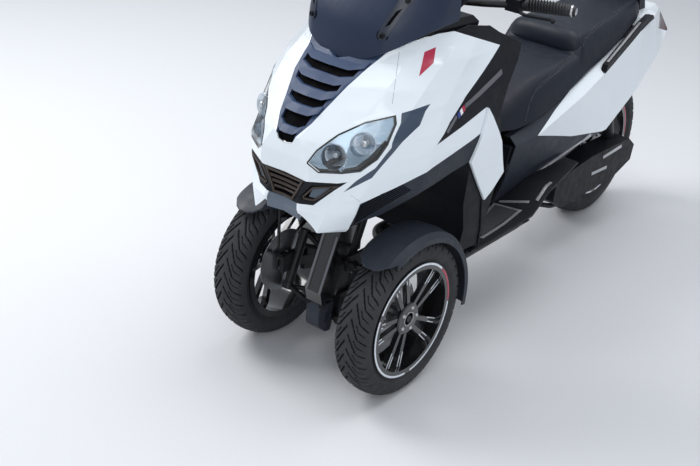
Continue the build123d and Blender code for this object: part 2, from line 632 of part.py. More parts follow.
def frame():
    nodes = {}
    column = side_prism(COLUMN_SIDE, -COLUMN_HALF_W, COLUMN_HALF_W)
    spine = side_prism([(840, SPINE_Z[0]), (500, SPINE_Z[0]), (500, SPINE_Z[1]), (830, SPINE_Z[1])],
                       -SPINE_HALF_W, SPINE_HALF_W)
    body = column + spine
    for side in (-1, 1):
        plate = side_prism([(810, 300), (668, 300), (668, 345), (800, 345)], 0, 9)
        body += Pos(0, side * 31.5 - 4.5, 0) * plate
        for x, z in ((850, LOWER_EYE_Z), (740, LOWER_EYE_Z), (800, UPPER_EYE_Z), (690, UPPER_EYE_Z)):
            body += rod((x, side * 22, z), (x, side * (ARM_PIVOT_Y - 14), z), 11)
    body += Pos(780, 0, 322) * Box(40, 70, 40)
    body += rod(along_steer(HEAD_Z[0], 0), along_steer(HEAD_Z[1], 0), HEAD_TUBE_R)
    body += side_prism([(700, 590), (640, 620), (600, 690), (650, 720)], -16, 16)
    foot = along_steer(STEER_ARM_Z, 0) - CASTER_UP * 15
    body += rod(foot, foot - CASTER_UP * 40, 20)
    body -= rod(along_steer(STEER_ARM_Z, 0) - CASTER_UP * 14.5, along_steer(900, 0), STEM_R + PIN_FIT)
    for side in (-1, 1):
        rail = [(520, side * 20, 205), (430, side * RAIL_Y, RAIL_Z), (20 + REAR_MOVE, side * RAIL_Y, RAIL_Z),
                (-130 + REAR_MOVE, side * RAIL_Y, 470), (-640 + REAR_MOVE, side * RAIL_Y, 575),
                (-900 + REAR_MOVE, side * 95, 640)]
        body += bent_tube(rail, RAIL_R, 60)
    for x, z in CROSS_TUBES:
        body += rod((x, -RAIL_Y, z), (x, RAIL_Y, z), CROSS_R)
    body += rod((-885 + REAR_MOVE, -98, 636), (-885 + REAR_MOVE, 98, 636), 12)
    nodes["main_frame"] = body
    cover = side_prism(COLUMN_COVER_SIDE, -COLUMN_COVER_W, COLUMN_COVER_W)
    cover -= side_prism([(835, 461), (912.4, 262), (896.4, 180), (760, 180), (740, 461)],
                        -COLUMN_HALF_W - SEAT_GAP, COLUMN_HALF_W + SEAT_GAP)
    nodes["front_column_cover"] = cover
    cap = side_prism(COLUMN_CAP_SIDE, -COLUMN_CAP_W, COLUMN_CAP_W)
    cap &= plan_prism([(x, y) for x, y in CAP_OUTLINE] + [(x, -y) for x, y in reversed(CAP_OUTLINE) if y > 0],
                      100, 240)
    cap -= both_sides(rod((890, 46, 176), (890, 33, 176), 16))
    nodes["column_cap"] = cap - column - spine
    return nodes


# Middle body

FLOOR_T = 8
# Height of the footboards along the side, (x, z)
FLOOR_SIDE = [(462, 322), (150, 345), (50, 405), (-170, 425)]
TUNNEL_HALF_W = 96.5
TUNNEL_SIDE = [(464, 318), (464, 560), (400, 505), (300, 480), (235, 520), (188, 560), (170, 318)]
# The saddle of the tunnel stretches between these places: the shield's edge and the slope to the seat
TUNNEL_SPAN = (464, 235)
TUNNEL_EAR = [(200, 545), (240, 512), (232, 590), (225, 595), (218, 590)]


def moved_rear(outline, from_x):
    """Outline with the points behind a place moved along with the rear axle."""
    return [(x + REAR_MOVE, other) if x < from_x else (x, other) for x, other in outline]


def spanned(outline, front_x, rear_x):
    """Outline whose points keep their shares of a span that ends at a place fixed to the rear axle."""
    shares = [min(max((front_x - x) / (front_x - rear_x), 0), 1) for x, _ in outline]
    return [(x + REAR_MOVE * share, other) for share, (x, other) in zip(shares, outline)]


def middle():
    nodes = {}
    nose = level_loft(NOSE_LEVELS, -SEAT_GAP) - behind_front_body()
    side = moved_rear(FLOOR_SIDE, 300)
    band = side + [(x, z - FLOOR_T) for x, z in reversed(side)]
    plan = [(470, 90), (470, 238), (400, 246), (140, 262), (40, 262), (-180, 232), (-180, 182), (-50, 169),
            (40, 150), (60, 90)]
    floor = side_prism(band, 97, 262) & plan_prism(moved_rear(plan, 300), 250, 500)
    nodes["floor_boards"] = pair(floor - nose - Pos(REAR_MOVE, 0, 0) * station_loft(REAR_STATIONS))
    tunnel = side_prism(spanned(TUNNEL_SIDE, *TUNNEL_SPAN), -TUNNEL_HALF_W, TUNNEL_HALF_W) - nose
    ear = side_prism(moved_rear(TUNNEL_EAR, 350), 30.3, 38)
    nodes["centre_tunnel"] = tunnel + ear + flipped(ear)
    tray = moved_rear([(400, -150), (400, 150), (-50, 150), (-50, -150)], 300)
    nodes["undertray"] = plan_prism(tray, 212, RAIL_Z - RAIL_R)
    return nodes


# Rear body

# Half cross-sections of the rear body: place along the vehicle, then (half width, height) from the
# bottom: centre, lower edge, lower side, upper side, shoulder and centre
REAR_STATIONS = [
    (168, [(0, 330), (118, 330), (150, 430), (176, 560), (150, 584), (0, 584)]),
    (60, [(0, 350), (140, 350), (174, 450), (194, 576), (160, 608), (0, 608)]),
    (-200, [(0, 390), (150, 390), (190, 462), (200, 648), (166, 674), (0, 674)]),
    (-430, [(0, 436), (152, 436), (192, 458), (184, 708), (150, 729), (0, 729)]),
    (-640, [(0, 496), (140, 496), (184, 552), (162, 766), (125, 780), (0, 780)]),
    (-830, [(0, 585), (115, 585), (156, 636), (120, 780), (92, 792), (0, 792)]),
    (-985, [(0, 655), (75, 655), (112, 692), (62, 762), (42, 775), (0, 775)]),
]
WHITE_REAR_OUTLINE = [(69, 574), (-56, 626), (-182, 672), (-341, 716), (-643, 773), (-700, 820), (-900, 820),
                      (-900, 600), (-640, 500), (-431, 452), (-171, 504)]
OPEN_TOP = [(180, 500), (120, 560), (60, 604), (-200, 670), (-430, 725), (-640, 776), (-725, 783),
            (-725, 850), (180, 850)]
OPEN_UNDER = [(180, 300), (180, 338), (60, 358), (-200, 398), (-430, 444), (-640, 504), (-830, 593),
              (-850, 300)]
TAIL_OUTLINE = [(-855, 550), (-855, 820), (-1100, 820), (-1100, 550)]
TAIL_LAMP_OUTLINE = [(-880, 718), (-950, 750), (-1000, 750), (-1000, 684), (-984, 684)]
BIN_OUTLINE = [(110, 596), (110, 560), (60, 440), (-340, 440), (-400, 610), (-640, 645), (-640, 771),
               (-430, 722), (-250, 684), (-200, 668), (-100, 645), (40, 608)]
BIN_FLOOR_CORNERS = 5
BIN_HALF_W = 124
BIN_T = 4
RAIL_OUTLINE = [(-340, 688), (-350, 714), (-640, 796), (-715, 808), (-752, 800), (-765, 784),
                (-718, 780), (-645, 766)]
RAIL_X = -345
RAIL_YAW = 6.5
RAIL_Y_FRONT = 184
HATCH_X = -979
HATCH_Z = 746
PLATE_X = -984.5
PLATE_Z = 590
PLATE_T = 5
PLATE_HOLE_GAP = 90
PLATE_HOLE_R = 3.5
GUARD_SIDE = [(-880, 640), (-960, 608), (-987, 562), (-982, 558), (-955, 600), (-876, 630)]


def rear_body():
    nodes = {}
    main_frame = Pos(-REAR_MOVE, 0, 0) * frame()["main_frame"]
    block = station_loft(REAR_STATIONS)
    shell = block - station_loft(REAR_STATIONS, PANEL_T)
    shell = shell - side_prism(OPEN_TOP, -130, 130) - side_prism(OPEN_UNDER, -139, 139)
    white = side_prism(WHITE_REAR_OUTLINE, -240, 240)
    tail = side_prism(TAIL_OUTLINE, -200, 200)
    tail += Pos(-800, 0, 790) * Box(170, 188, 40)
    lamps = both_sides(side_prism(TAIL_LAMP_OUTLINE, 40, 200))
    nodes["rear_side_panels"] = (shell & white) - tail
    between = Pos(0, 0, 500) * Box(2400, 230, 1200)
    around_bin = Pos(-400, 0, 560) * Box(1100, 2 * BIN_HALF_W + 1, 500)
    nodes["side_cowls"] = shell - white - tail - between - around_bin - main_frame
    nodes["tail_lamps"] = shell & lamps
    tail_panel = (shell & tail) - lamps
    for side in (-1, 1):
        tail_panel += Pos(HATCH_X, side * 34.3, HATCH_Z + 12) * Box(8, 8, 30)
    nodes["tail_panel"] = tail_panel - main_frame
    hatch = station_loft(REAR_STATIONS, PANEL_T + 5) & Pos(HATCH_X, 0, HATCH_Z - 56) * Box(4, 240, 100)
    hatch += rod((HATCH_X, -30, HATCH_Z), (HATCH_X, 30, HATCH_Z), 4)
    hatch += Pos(HATCH_X, 0, HATCH_Z - 5) * Box(4, 58, 10)
    nodes["tail_hatch"] = hatch
    tub = side_prism(BIN_OUTLINE, -BIN_HALF_W, BIN_HALF_W)
    corners = inset(BIN_OUTLINE, BIN_T)[1:BIN_FLOOR_CORNERS + 1]
    inside = corners + [(corners[-1][0], 900), (corners[0][0], 900)]
    tub -= side_prism(inside, -BIN_HALF_W + BIN_T, BIN_HALF_W - BIN_T)
    for side in (-1, 1):
        tub += Pos(-200, side * 130, 484) * Box(40, 14, 10)
        tub += Pos(-570, side * 60, 606) * Box(24, 20, 66)
    nodes["storage_bin"] = tub - main_frame
    guard = side_prism(GUARD_SIDE, -48, 48) - block
    guard += Pos(PLATE_X, 0, PLATE_Z) * Box(PLATE_T, 130, 60)
    for side in (-1, 1):
        y = side * PLATE_HOLE_GAP / 2
        guard -= rod((PLATE_X - 30, y, PLATE_Z), (PLATE_X + 30, y, PLATE_Z), PLATE_HOLE_R)
    nodes["rear_mudguard"] = guard
    rail = Rot(0, 0, RAIL_YAW) * Pos(-RAIL_X, 0, 0) * side_prism(RAIL_OUTLINE, -10, 10)
    rail = Pos(RAIL_X, RAIL_Y_FRONT, 0) * rail
    nodes["grab_rails"] = pair(rail - block)
    rest_at = Pos(-745, 0, 915) * Rot(0, -8, 0)
    nodes["backrest"] = rest_at * Box(44, 250, 120)
    bracket = rest_at * (Pos(-22 - SEAT_GAP - 5, 0, -10) * Box(10, 170, 80))
    bracket += side_prism([(-800, 770), (-850, 770), (-790, 910), (-768, 890)], -70, 70)
    nodes["backrest_bracket"] = bracket - rest_at * Box(44 + 2 * SEAT_GAP, 260, 130) - block
    return {name: moved(shape, REAR_MOVE) for name, shape in nodes.items()}


# Half cross-sections of the seat: place along the vehicle, height of the pan, then (half width,
# height) of the cushion's lower edge, side, shoulder and crown
SEAT_STATIONS = [
    (232, 597, [(112, 604), (98, 642), (60, 652), (0, 654)]),
    (150, 600, [(158, 607), (132, 668), (100, 694), (0, 701)]),
    (40, 622, [(176, 629), (151, 702), (112, 738), (0, 744)]),
    (-100, 655, [(176, 662), (153, 727), (116, 752), (0, 757)]),
    (-215, 686, [(171, 693), (151, 746), (118, 765), (0, 769)]),
    (-250, 695, [(168, 702), (149, 776), (118, 822), (0, 832)]),
    (-430, 738, [(160, 745), (140, 801), (112, 829), (0, 835)]),
    (-640, 789, [(132, 796), (120, 833), (96, 847), (0, 851)]),
    (-712, 801, [(108, 808), (100, 836), (80, 849), (0, 851)]),
]
SEAT_PAN_T = 6
SEAT_HINGE = (225, 590)


def seat():
    nodes = {}
    cushion = []
    pan = []
    for x, low, half in SEAT_STATIONS:
        edge, base = half[0][0], low + SEAT_PAN_T + SEAT_GAP
        cushion.append((x, [(0, base), (edge, base)] + half[1:]))
        pan.append((x, [(0, low), (edge - 12, low), (edge - 12, low + SEAT_PAN_T), (0, low + SEAT_PAN_T)]))
    nodes["seat"] = station_loft(cushion)
    hinge_x, hinge_z = SEAT_HINGE
    barrel = rod((hinge_x, -30, hinge_z), (hinge_x, 30, hinge_z), 6)
    nodes["seat_pan"] = station_loft(pan) + barrel + Pos(hinge_x, 0, hinge_z + 6) * Box(6, 56, 12)
    return {name: moved(shape, REAR_MOVE) for name, shape in nodes.items()}


# Engine and rear suspension

ENGINE_AT = (-195, 0, 315)
ENGINE_SIZE = (270, 170, 190)
CASE_SIDE = [(-170, 330), (-165, 250), (-240, 205), (-620, 205), (-745, 240), (-755, 300),
             (-700, 340), (-420, 350)]
CASE_Y = (85, 168)
ARM_Y = (-112, -85)
STAND_PIVOT = (-250, 178)
STAND_PIVOT_R = 11
STAND_LEG_R = 9
SHOCK_R = 24
SILENCER_R = 54


def drive():
    nodes = {}
    up = REAR_TYRE_R - 276
    engine = Pos(*ENGINE_AT) * Box(*ENGINE_SIZE)
    case = side_prism([(x, z + up if x < -600 else z) for x, z in CASE_SIDE], *CASE_Y)
    axle = rod((DRAWN_AXLE_X, ARM_Y[0] - 6, REAR_TYRE_R), (DRAWN_AXLE_X, CASE_Y[0], REAR_TYRE_R), AXLE_R)
    arm = side_prism([(-250, 330), (-250, 270), (-700, 245 + up), (-735, 270 + up), (-700, 305 + up),
                      (-655, 350 + up), (-625, 350 + up), (-600, 312 + up)], *ARM_Y)
    shocks = pair(rod((-640, 104, 352 + up), (-572, 104, 540), SHOCK_R))
    silencer = rod((-400, -190, 330), (-830, -190, 400), SILENCER_R)
    header = bent_tube([(-150, -80, 230), (-200, -140, 215), (-330, -190, 290), (-410, -190, 332)], 18, 30)
    x, z = STAND_PIVOT
    for side in (-1, 1):
        ear = [(x + 18, 225), (x + 18, z), (x, z - 16), (x - 18, z), (x - 18, 225)]
        lug = side_prism(ear, side * 50, side * 58)
        engine += lug - rod((x, -90, z), (x, 90, z), STAND_PIVOT_R + PIN_FIT)
    leg = bent_tube([(x, 66, z), (x - 25, 104, z - 2), (x - 162, 124, z - 10)], STAND_LEG_R, 20)
    nodes["engine"] = engine
    nodes["transmission_case"] = case
    nodes["rear_axle"] = axle
    nodes["rear_shocks"] = shocks
    nodes["swingarm"] = arm - shocks - axle
    nodes["silencer"] = silencer + header - engine
    nodes["centre_stand"] = leg + flipped(leg) + rod((x, -72, z), (x, 72, z), STAND_PIVOT_R)
    return {name: moved(shape, REAR_MOVE) for name, shape in nodes.items()}


if __name__ == "__main__":
    nodes = {}
    for group in (wheels, steering, handlebar, front_body, screen, frame, middle, rear_body, seat, drive):
        nodes.update(group())
    os.makedirs("parts", exist_ok=True)
    for name, shape in nodes.items():
        export_step(moved(shape, -MIDDLE_X), f"parts/{name}.step")
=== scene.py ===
"""Dresses the three-wheeled tilting scooter: finishes, upholstery, tread, lamps and small trim.

Everything is in metres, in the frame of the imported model: +X forward, +Y to the rider's left, +Z up.
"""
import bmesh
import bpy
import math
import numpy as np
from mathutils import Matrix, Vector
from mathutils.bvhtree import BVHTree


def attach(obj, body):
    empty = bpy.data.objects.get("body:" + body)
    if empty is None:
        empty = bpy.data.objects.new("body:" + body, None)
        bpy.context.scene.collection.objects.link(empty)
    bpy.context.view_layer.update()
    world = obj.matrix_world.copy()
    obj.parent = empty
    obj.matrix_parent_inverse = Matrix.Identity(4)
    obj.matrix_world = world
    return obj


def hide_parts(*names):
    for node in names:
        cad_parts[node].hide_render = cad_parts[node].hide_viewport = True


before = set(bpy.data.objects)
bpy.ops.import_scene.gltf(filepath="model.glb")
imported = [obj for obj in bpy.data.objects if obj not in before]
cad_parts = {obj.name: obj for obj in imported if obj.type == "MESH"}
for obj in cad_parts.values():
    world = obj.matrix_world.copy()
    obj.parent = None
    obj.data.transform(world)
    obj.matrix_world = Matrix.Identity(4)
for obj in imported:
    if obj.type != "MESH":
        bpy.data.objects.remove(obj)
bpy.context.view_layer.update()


# Camera

MIDDLE_X = 0.0455
CAMERA_AT = Vector((3.26781 - MIDDLE_X, 1.87885, 2.01861))
CAMERA_BEARING = 36.8638
CAMERA_HEIGHT_ANGLE = 27.3758
CAMERA_ROLL = 4.78582
CAMERA_LENS = 61.89
CAMERA_REACH = 60
SENSOR_WIDTH = 36.0
PHOTO_SIZE = (700, 466)


def camera_axes():
    """Directions across, up and back of the camera."""
    bearing, rise, roll = (math.radians(a) for a in (CAMERA_BEARING, CAMERA_HEIGHT_ANGLE, CAMERA_ROLL))
    back = Vector((math.cos(bearing) * math.cos(rise), math.sin(bearing) * math.cos(rise), math.sin(rise)))
    right = (-back).cross(Vector((0, 0, 1))).normalized()
    up = right.cross(-back)
    across = math.cos(roll) * right + math.sin(roll) * up
    upward = -math.sin(roll) * right + math.cos(roll) * up
    return across, upward, back


def make_camera():
    """Camera at the photograph's place, turned about its own axis by the roll."""
    across, upward, back = camera_axes()
    data = bpy.data.cameras.new("camera")
    data.lens = CAMERA_LENS
    data.sensor_width = SENSOR_WIDTH
    data.clip_end = CAMERA_REACH
    camera = bpy.data.objects.new("camera", data)
    turn = Matrix((across, upward, back)).transposed().to_4x4()
    camera.matrix_world = Matrix.Translation(CAMERA_AT) @ turn
    bpy.context.scene.collection.objects.link(camera)
    bpy.context.scene.camera = camera


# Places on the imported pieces

def at(x, y, z):
    """Point of the part's drawing, in millimetres, in the frame."""
    return Vector((x / 1000 - MIDDLE_X, y / 1000, z / 1000))


def tree_of(*nodes):
    """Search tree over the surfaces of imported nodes."""
    vertices = []
    faces = []
    for node in nodes:
        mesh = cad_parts[node].data
        first = len(vertices)
        vertices += [vertex.co.copy() for vertex in mesh.vertices]
        faces += [[first + index for index in face.vertices] for face in mesh.polygons]
    return BVHTree.FromPolygons(vertices, faces)


def sight(pixel):
    """Direction from the camera through a place in the photograph."""
    across, upward, back = camera_axes()
    reach = CAMERA_LENS / SENSOR_WIDTH * PHOTO_SIZE[0]
    right = pixel[0] - PHOTO_SIZE[0] / 2
    up = PHOTO_SIZE[1] / 2 - pixel[1]
    return (across * right + upward * up - back * reach).normalized()


# Node helpers

def new_material(name):
    """Empty material with a principled shader and its output."""
    made = bpy.data.materials.new(name)
    made.use_nodes = True
    tree = made.node_tree
    tree.nodes.clear()
    output = tree.nodes.new("ShaderNodeOutputMaterial")
    shader = tree.nodes.new("ShaderNodeBsdfPrincipled")
    tree.links.new(shader.outputs["BSDF"], output.inputs["Surface"])
    return made, tree, shader


def coordinates(tree, stretch=(1, 1, 1)):
    """Object coordinates, stretched along the axes."""
    place = tree.nodes.new("ShaderNodeTexCoord")
    mapping = tree.nodes.new("ShaderNodeMapping")
    mapping.inputs["Scale"].default_value = stretch
    tree.links.new(place.outputs["Object"], mapping.inputs["Vector"])
    return mapping.outputs["Vector"]


def noise(tree, vector, scale, detail=2.0):
    """Noise texture value."""
    texture = tree.nodes.new("ShaderNodeTexNoise")
    texture.inputs["Scale"].default_value = scale
    texture.inputs["Detail"].default_value = detail
    tree.links.new(vector, texture.inputs["Vector"])
    return texture.outputs["Fac"]


# Part of a noise's range that its colours or values run over
RAMP_ENDS = (0.3, 0.7)
# Scale and detail of the noises that let colour, gloss and haze wander
COLOUR_NOISE = (9, 3)
GLOSS_NOISE = (34, 4)
HAZE_NOISE = (60, 3)
COAT_ROUGHNESS = 0.06
CLEAR_IOR = 1.12
CLEAR_COAT = 0.6
CLEAR_COAT_ROUGHNESS = 0.03


def between(tree, factor, low, high):
    """Value or colour that runs from low to high as the factor runs over the middle of its range."""
    ramp = tree.nodes.new("ShaderNodeValToRGB")
    for element, place, value in zip(ramp.color_ramp.elements, RAMP_ENDS, (low, high)):
        element.position = place
        element.color = (*value, 1) if isinstance(value, tuple) else (value, value, value, 1)
    tree.links.new(factor, ramp.inputs["Fac"])
    return ramp.outputs["Color"]


def set_inputs(node, values):
    """Sets inputs of a node by their names."""
    for name, value in values.items():
        node.inputs[name].default_value = value


def bump(tree, shader, height, depth):
    """Bump from a height between 0 and 1, as deep as given in metres."""
    node = tree.nodes.new("ShaderNodeBump")
    set_inputs(node, {"Strength": 1, "Distance": depth})
    tree.links.new(height, node.inputs["Height"])
    tree.links.new(node.outputs["Normal"], shader.inputs["Normal"])


def surface(name, colour, roughness, metallic=0.0, coat=0.0, grain=900, depth=0.00005, spread=0.06, wear=0.15,
            specular=0.5, ribs=None):
    """Moulded or painted surface: colour and gloss wander a little, and a fine grain breaks the highlight.

    Ribs, where given, are the stretch along the axes and the depth in metres of even raised lines.
    """
    made, tree, shader = new_material(name)
    vector = coordinates(tree)
    low = tuple(c * (1 - spread) for c in colour)
    high = tuple(min(1, c * (1 + spread)) for c in colour)
    tree.links.new(between(tree, noise(tree, vector, *COLOUR_NOISE), low, high), shader.inputs["Base Color"])
    worn = noise(tree, vector, *GLOSS_NOISE)
    worn = between(tree, worn, roughness * (1 - wear), min(1, roughness * (1 + wear)))
    tree.links.new(worn, shader.inputs["Roughness"])
    set_inputs(shader, {"Metallic": metallic, "Specular IOR Level": specular, "Coat Weight": coat,
                        "Coat Roughness": COAT_ROUGHNESS})
    if ribs:
        stretch, depth = ribs
        wave = tree.nodes.new("ShaderNodeTexWave")
        wave.wave_profile = "SIN"
        set_inputs(wave, {"Scale": 1, "Distortion": 0})
        tree.links.new(coordinates(tree, stretch), wave.inputs["Vector"])
        bump(tree, shader, wave.outputs["Fac"], depth)
    else:
        bump(tree, shader, noise(tree, vector, grain, 2), depth)
    return made


def clear_plastic(name, tint, roughness=0.02):
    """Thin clear plastic that lets light through without bending it much."""
    made, tree, shader = new_material(name)
    set_inputs(shader, {"Base Color": (*tint, 1), "Transmission Weight": 1, "IOR": CLEAR_IOR,
                        "Coat Weight": CLEAR_COAT, "Coat Roughness": CLEAR_COAT_ROUGHNESS})
    haze = noise(tree, coordinates(tree), *HAZE_NOISE)
    tree.links.new(between(tree, haze, roughness, roughness * 2), shader.inputs["Roughness"])
    return made


MATERIALS = {
    "pearl": surface("pearl_white", (0.77, 0.83, 0.88), 0.26, coat=0.9, grain=2200, depth=0.000002,
                     spread=0.004, wear=0.02),
    "navy": surface("navy_satin", (0.012, 0.022, 0.05), 0.4, grain=1800, depth=0.00001, wear=0.05,
                    specular=0.4),
    "slate": surface("slate_satin", (0.026, 0.048, 0.105), 0.45, grain=1500, depth=0.00003, specular=0.3),
    "steel_blue": surface("steel_blue", (0.1, 0.125, 0.165), 0.4, metallic=0.2, grain=1800, depth=0.00002),
    "black": surface("black_plastic", (0.005, 0.006, 0.009), 0.5, grain=1100, depth=0.00004, specular=0.22),
    "textured": surface("textured_black", (0.006, 0.007, 0.011), 0.5, specular=0.22,
                        ribs=((120, 0, 330), 0.0005)),
    "gloss_black": surface("gloss_black", (0.008, 0.008, 0.009), 0.16, coat=0.8, grain=2200, depth=0.00001),
    "grey": surface("matt_grey", (0.02, 0.025, 0.036), 0.5, grain=1000, depth=0.00006, specular=0.35),
    "iron": surface("painted_iron", (0.02, 0.02, 0.022), 0.42, metallic=0.4, grain=800, depth=0.00008),
    "alloy": surface("cast_alloy", (0.42, 0.43, 0.45), 0.42, metallic=0.9, grain=600, depth=0.0001),
    "steel": surface("brushed_steel", (0.6, 0.61, 0.63), 0.3, metallic=1.0, grain=1400, depth=0.000004,
                     spread=0.02, wear=0.04),
    "chrome": surface("chrome", (0.9, 0.91, 0.93), 0.06, metallic=1.0, grain=2000, depth=0.000004,
                      spread=0.02),
    "bronze": surface("bronze_paint", (0.045, 0.033, 0.027), 0.42, metallic=0.3, grain=1400, depth=0.00003),
    "silver": surface("silver_satin", (0.5, 0.51, 0.53), 0.32, metallic=0.8, grain=1600, depth=0.00003),
    "pin_silver": surface("pin_silver", (0.74, 0.78, 0.84), 0.3, metallic=0.2, grain=1600, depth=0.00001,
                          spread=0.02),
    "bowl": surface("bowl_bright", (0.72, 0.78, 0.85), 0.2, metallic=0.65, grain=1600, depth=0.000004,
                    spread=0.02),
    "rubber": surface("tyre_rubber", (0.03, 0.031, 0.034), 0.75, grain=500, depth=0.0002, spread=0.2,
                      specular=0.3),
    "soft_rubber": surface("soft_rubber", (0.01, 0.011, 0.013), 0.6, grain=800, depth=0.0001),
    "leather": surface("seat_leather", (0.008, 0.011, 0.019), 0.5, grain=420, depth=0.0002, specular=0.3),
    "red": surface("red_badge", (0.42, 0.01, 0.05), 0.3, coat=0.5, grain=2200, depth=0.00001),
    "white_mark": surface("white_mark", (0.8, 0.82, 0.85), 0.3, coat=0.4, grain=2200, depth=0.00001),
    "blue_mark": surface("blue_mark", (0.01, 0.03, 0.22), 0.3, coat=0.4, grain=2200, depth=0.00001),
    "strip_grey": surface("strip_grey", (0.14, 0.145, 0.16), 0.4, metallic=0.4, grain=1600, depth=0.00003),
    "bracket": surface("bracket_grey", (0.018, 0.024, 0.04), 0.35, grain=1400, depth=0.00003),
    "seam": surface("panel_seam", (0.25, 0.27, 0.3), 0.6, grain=1800, depth=0.00001),
    "thread": surface("seam_thread", (0.09, 0.095, 0.11), 0.7, grain=1500, depth=0.00005),
    "ribbed_rubber": surface("ribbed_rubber", (0.02, 0.02, 0.023), 0.65, grain=500, depth=0.0004),
    # Near-black, almost unreflecting finish: painted shade behind the grille, round and in the brackets, and
    # between the wing ribs
    "void": surface("painted_shade_black", (0.003, 0.003, 0.004), 0.9, grain=900, depth=0.0001, specular=0.05),
    # Near-black, almost unreflecting rubber: painted shade in the tyres' grooves
    "groove": surface("tread_groove_painted_shade", (0.006, 0.006, 0.007), 0.9, grain=600, depth=0.0002, specular=0.1),
    "drl": surface("lamp_strip", (0.03, 0.052, 0.09), 0.35, coat=0.4, ribs=((0, 0, 420), 0.0008)),
    "wing": surface("wing_grey", (0.018, 0.024, 0.036), 0.42, specular=0.35, ribs=((200, 0, 330), 0.0004)),
    "reflector": surface("lamp_reflector", (0.33, 0.42, 0.5), 0.24, metallic=0.75, grain=1500, depth=0.00001,
                         spread=0.02),
    "tail_red": surface("tail_red", (0.05, 0.006, 0.008), 0.2, coat=0.6, grain=900, depth=0.00003),
    "clear": clear_plastic("clear_plastic", (0.96, 0.975, 0.985)),
    "smoke": clear_plastic("smoked_screen", (0.9, 0.94, 0.97)),
}

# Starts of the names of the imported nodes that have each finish; all others are plain black plastic
NODE_STARTS = {
    "rubber": ["tyre"],
    "gloss_black": ["rim", "front_column_cover"],
    "steel": ["brake_disc", "silencer", "rear_axle", "track_rod"],
    "pearl": ["nose_panel", "rear_side_panels", "shield_blades", "tail_panel"],
    "navy": ["windscreen_cover"],
    "smoke": ["windscreen"],
    "clear": ["headlamp_lenses"],
    "drl": ["drl_strips"],
    "slate": ["louvre_insert"],
    # The plates behind the louvre and grille are painted near-black: painted shade for the depth behind the
    # openings
    "void": ["grille_backs"],
    "reflector": ["headlamp_bowls"],
    "steel_blue": ["skid_plate"],
    "grey": ["side_cowls", "mudguard", "column_cap"],
    "textured": ["side_infill_panels"],
    "wing": ["wing_trims"],
    "leather": ["seat", "backrest"],
    "black": ["seat_pan"],
    "soft_rubber": ["grips"],
    "tail_red": ["tail_lamps"],
    "alloy": ["engine", "swingarm"],
    "iron": ["main_frame", "knuckle", "steering_stem", "handlebar", "rear_shocks", "centre_stand",
             "lower_wishbones", "upper_wishbones"],
}


def finish_of(node):
    """Finish of a node, by the longest start that fits its name."""
    fits = [(len(start), finish) for finish, starts in NODE_STARTS.items()
            for start in starts if node.startswith(start)]
    return max(fits)[1] if fits else "black"


# Edge finish

WELD_DISTANCE = 0.00001
FLAT_BELOW = math.radians(0.5)
BEVEL_ABOVE = math.radians(28)
SMOOTH_BELOW = math.radians(38)
NODE_EDGE_W = 0.0012


def node_group(name, nodes_and_links):
    """Geometry node group with one geometry in and one out, built by the given function."""
    group = bpy.data.node_groups.new(name, "GeometryNodeTree")
    group.interface.new_socket("Geometry", in_out="INPUT", socket_type="NodeSocketGeometry")
    group.interface.new_socket("Geometry", in_out="OUTPUT", socket_type="NodeSocketGeometry")
    start = group.nodes.new("NodeGroupInput")
    end = group.nodes.new("NodeGroupOutput")
    last = nodes_and_links(group, start.outputs["Geometry"])
    group.links.new(last, end.inputs["Geometry"])
    return group


def weld_nodes(group, geometry):
    """Joins points that lie at the same place."""
    weld = group.nodes.new("GeometryNodeMergeByDistance")
    weld.inputs["Distance"].default_value = WELD_DISTANCE
    group.links.new(geometry, weld.inputs["Geometry"])
    return weld.outputs["Geometry"]


def smooth_nodes(group, geometry):
    """Shades all faces smooth, with the sharper edges kept sharp."""
    angle = group.nodes.new("GeometryNodeInputMeshEdgeAngle")
    compare = group.nodes.new("FunctionNodeCompare")
    compare.data_type = "FLOAT"
    compare.operation = "LESS_THAN"
    compare.inputs[1].default_value = SMOOTH_BELOW
    group.links.new(angle.outputs["Unsigned Angle"], compare.inputs[0])
    faces = group.nodes.new("GeometryNodeSetShadeSmooth")
    faces.domain = "FACE"
    faces.inputs["Shade Smooth"].default_value = True
    edges = group.nodes.new("GeometryNodeSetShadeSmooth")
    edges.domain = "EDGE"
    group.links.new(compare.outputs["Result"], edges.inputs["Shade Smooth"])
    group.links.new(geometry, faces.inputs["Geometry"])
    group.links.new(faces.outputs["Geometry"], edges.inputs["Geometry"])
    return edges.outputs["Geometry"]


WELD = node_group("weld", weld_nodes)
SMOOTH = node_group("smooth", smooth_nodes)


def soften(piece, width, joined=False):
    """Rounds the edges of a piece and shades its curves smooth, with loose faces joined first where asked."""
    if joined:
        piece.modifiers.new("weld", "NODES").node_group = WELD
        flat = piece.modifiers.new("flat", "DECIMATE")
        flat.decimate_type = "DISSOLVE"
        flat.angle_limit = FLAT_BELOW
    bevel = piece.modifiers.new("bevel", "BEVEL")
    bevel.width = width
    bevel.segments = 2
    bevel.limit_method = "ANGLE"
    bevel.angle_limit = BEVEL_ABOVE
    bevel.miter_outer = "MITER_ARC"
    piece.modifiers.new("smooth", "NODES").node_group = SMOOTH
    normals = piece.modifiers.new("normals", "WEIGHTED_NORMAL")
    normals.keep_sharp = True


def paint(piece, finish):
    """Gives a piece one finish."""
    piece.data.materials.clear()
    piece.data.materials.append(MATERIALS[finish])


def finish_nodes():
    """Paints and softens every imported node."""
    for name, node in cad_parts.items():
        paint(node, finish_of(name))
        soften(node, NODE_EDGE_W, joined=True)


# Mesh helpers

def mesh_piece(name, vertices, faces, finish, body):
    """New smooth-shaded piece that rides on a body."""
    mesh = bpy.data.meshes.new(name)
    mesh.from_pydata([tuple(vertex) for vertex in vertices], [], faces)
    mesh.update()
    mesh.shade_smooth()
    piece = bpy.data.objects.new(name, mesh)
    bpy.context.scene.collection.objects.link(piece)
    mesh.materials.append(MATERIALS[finish])
    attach(piece, body)
    return piece


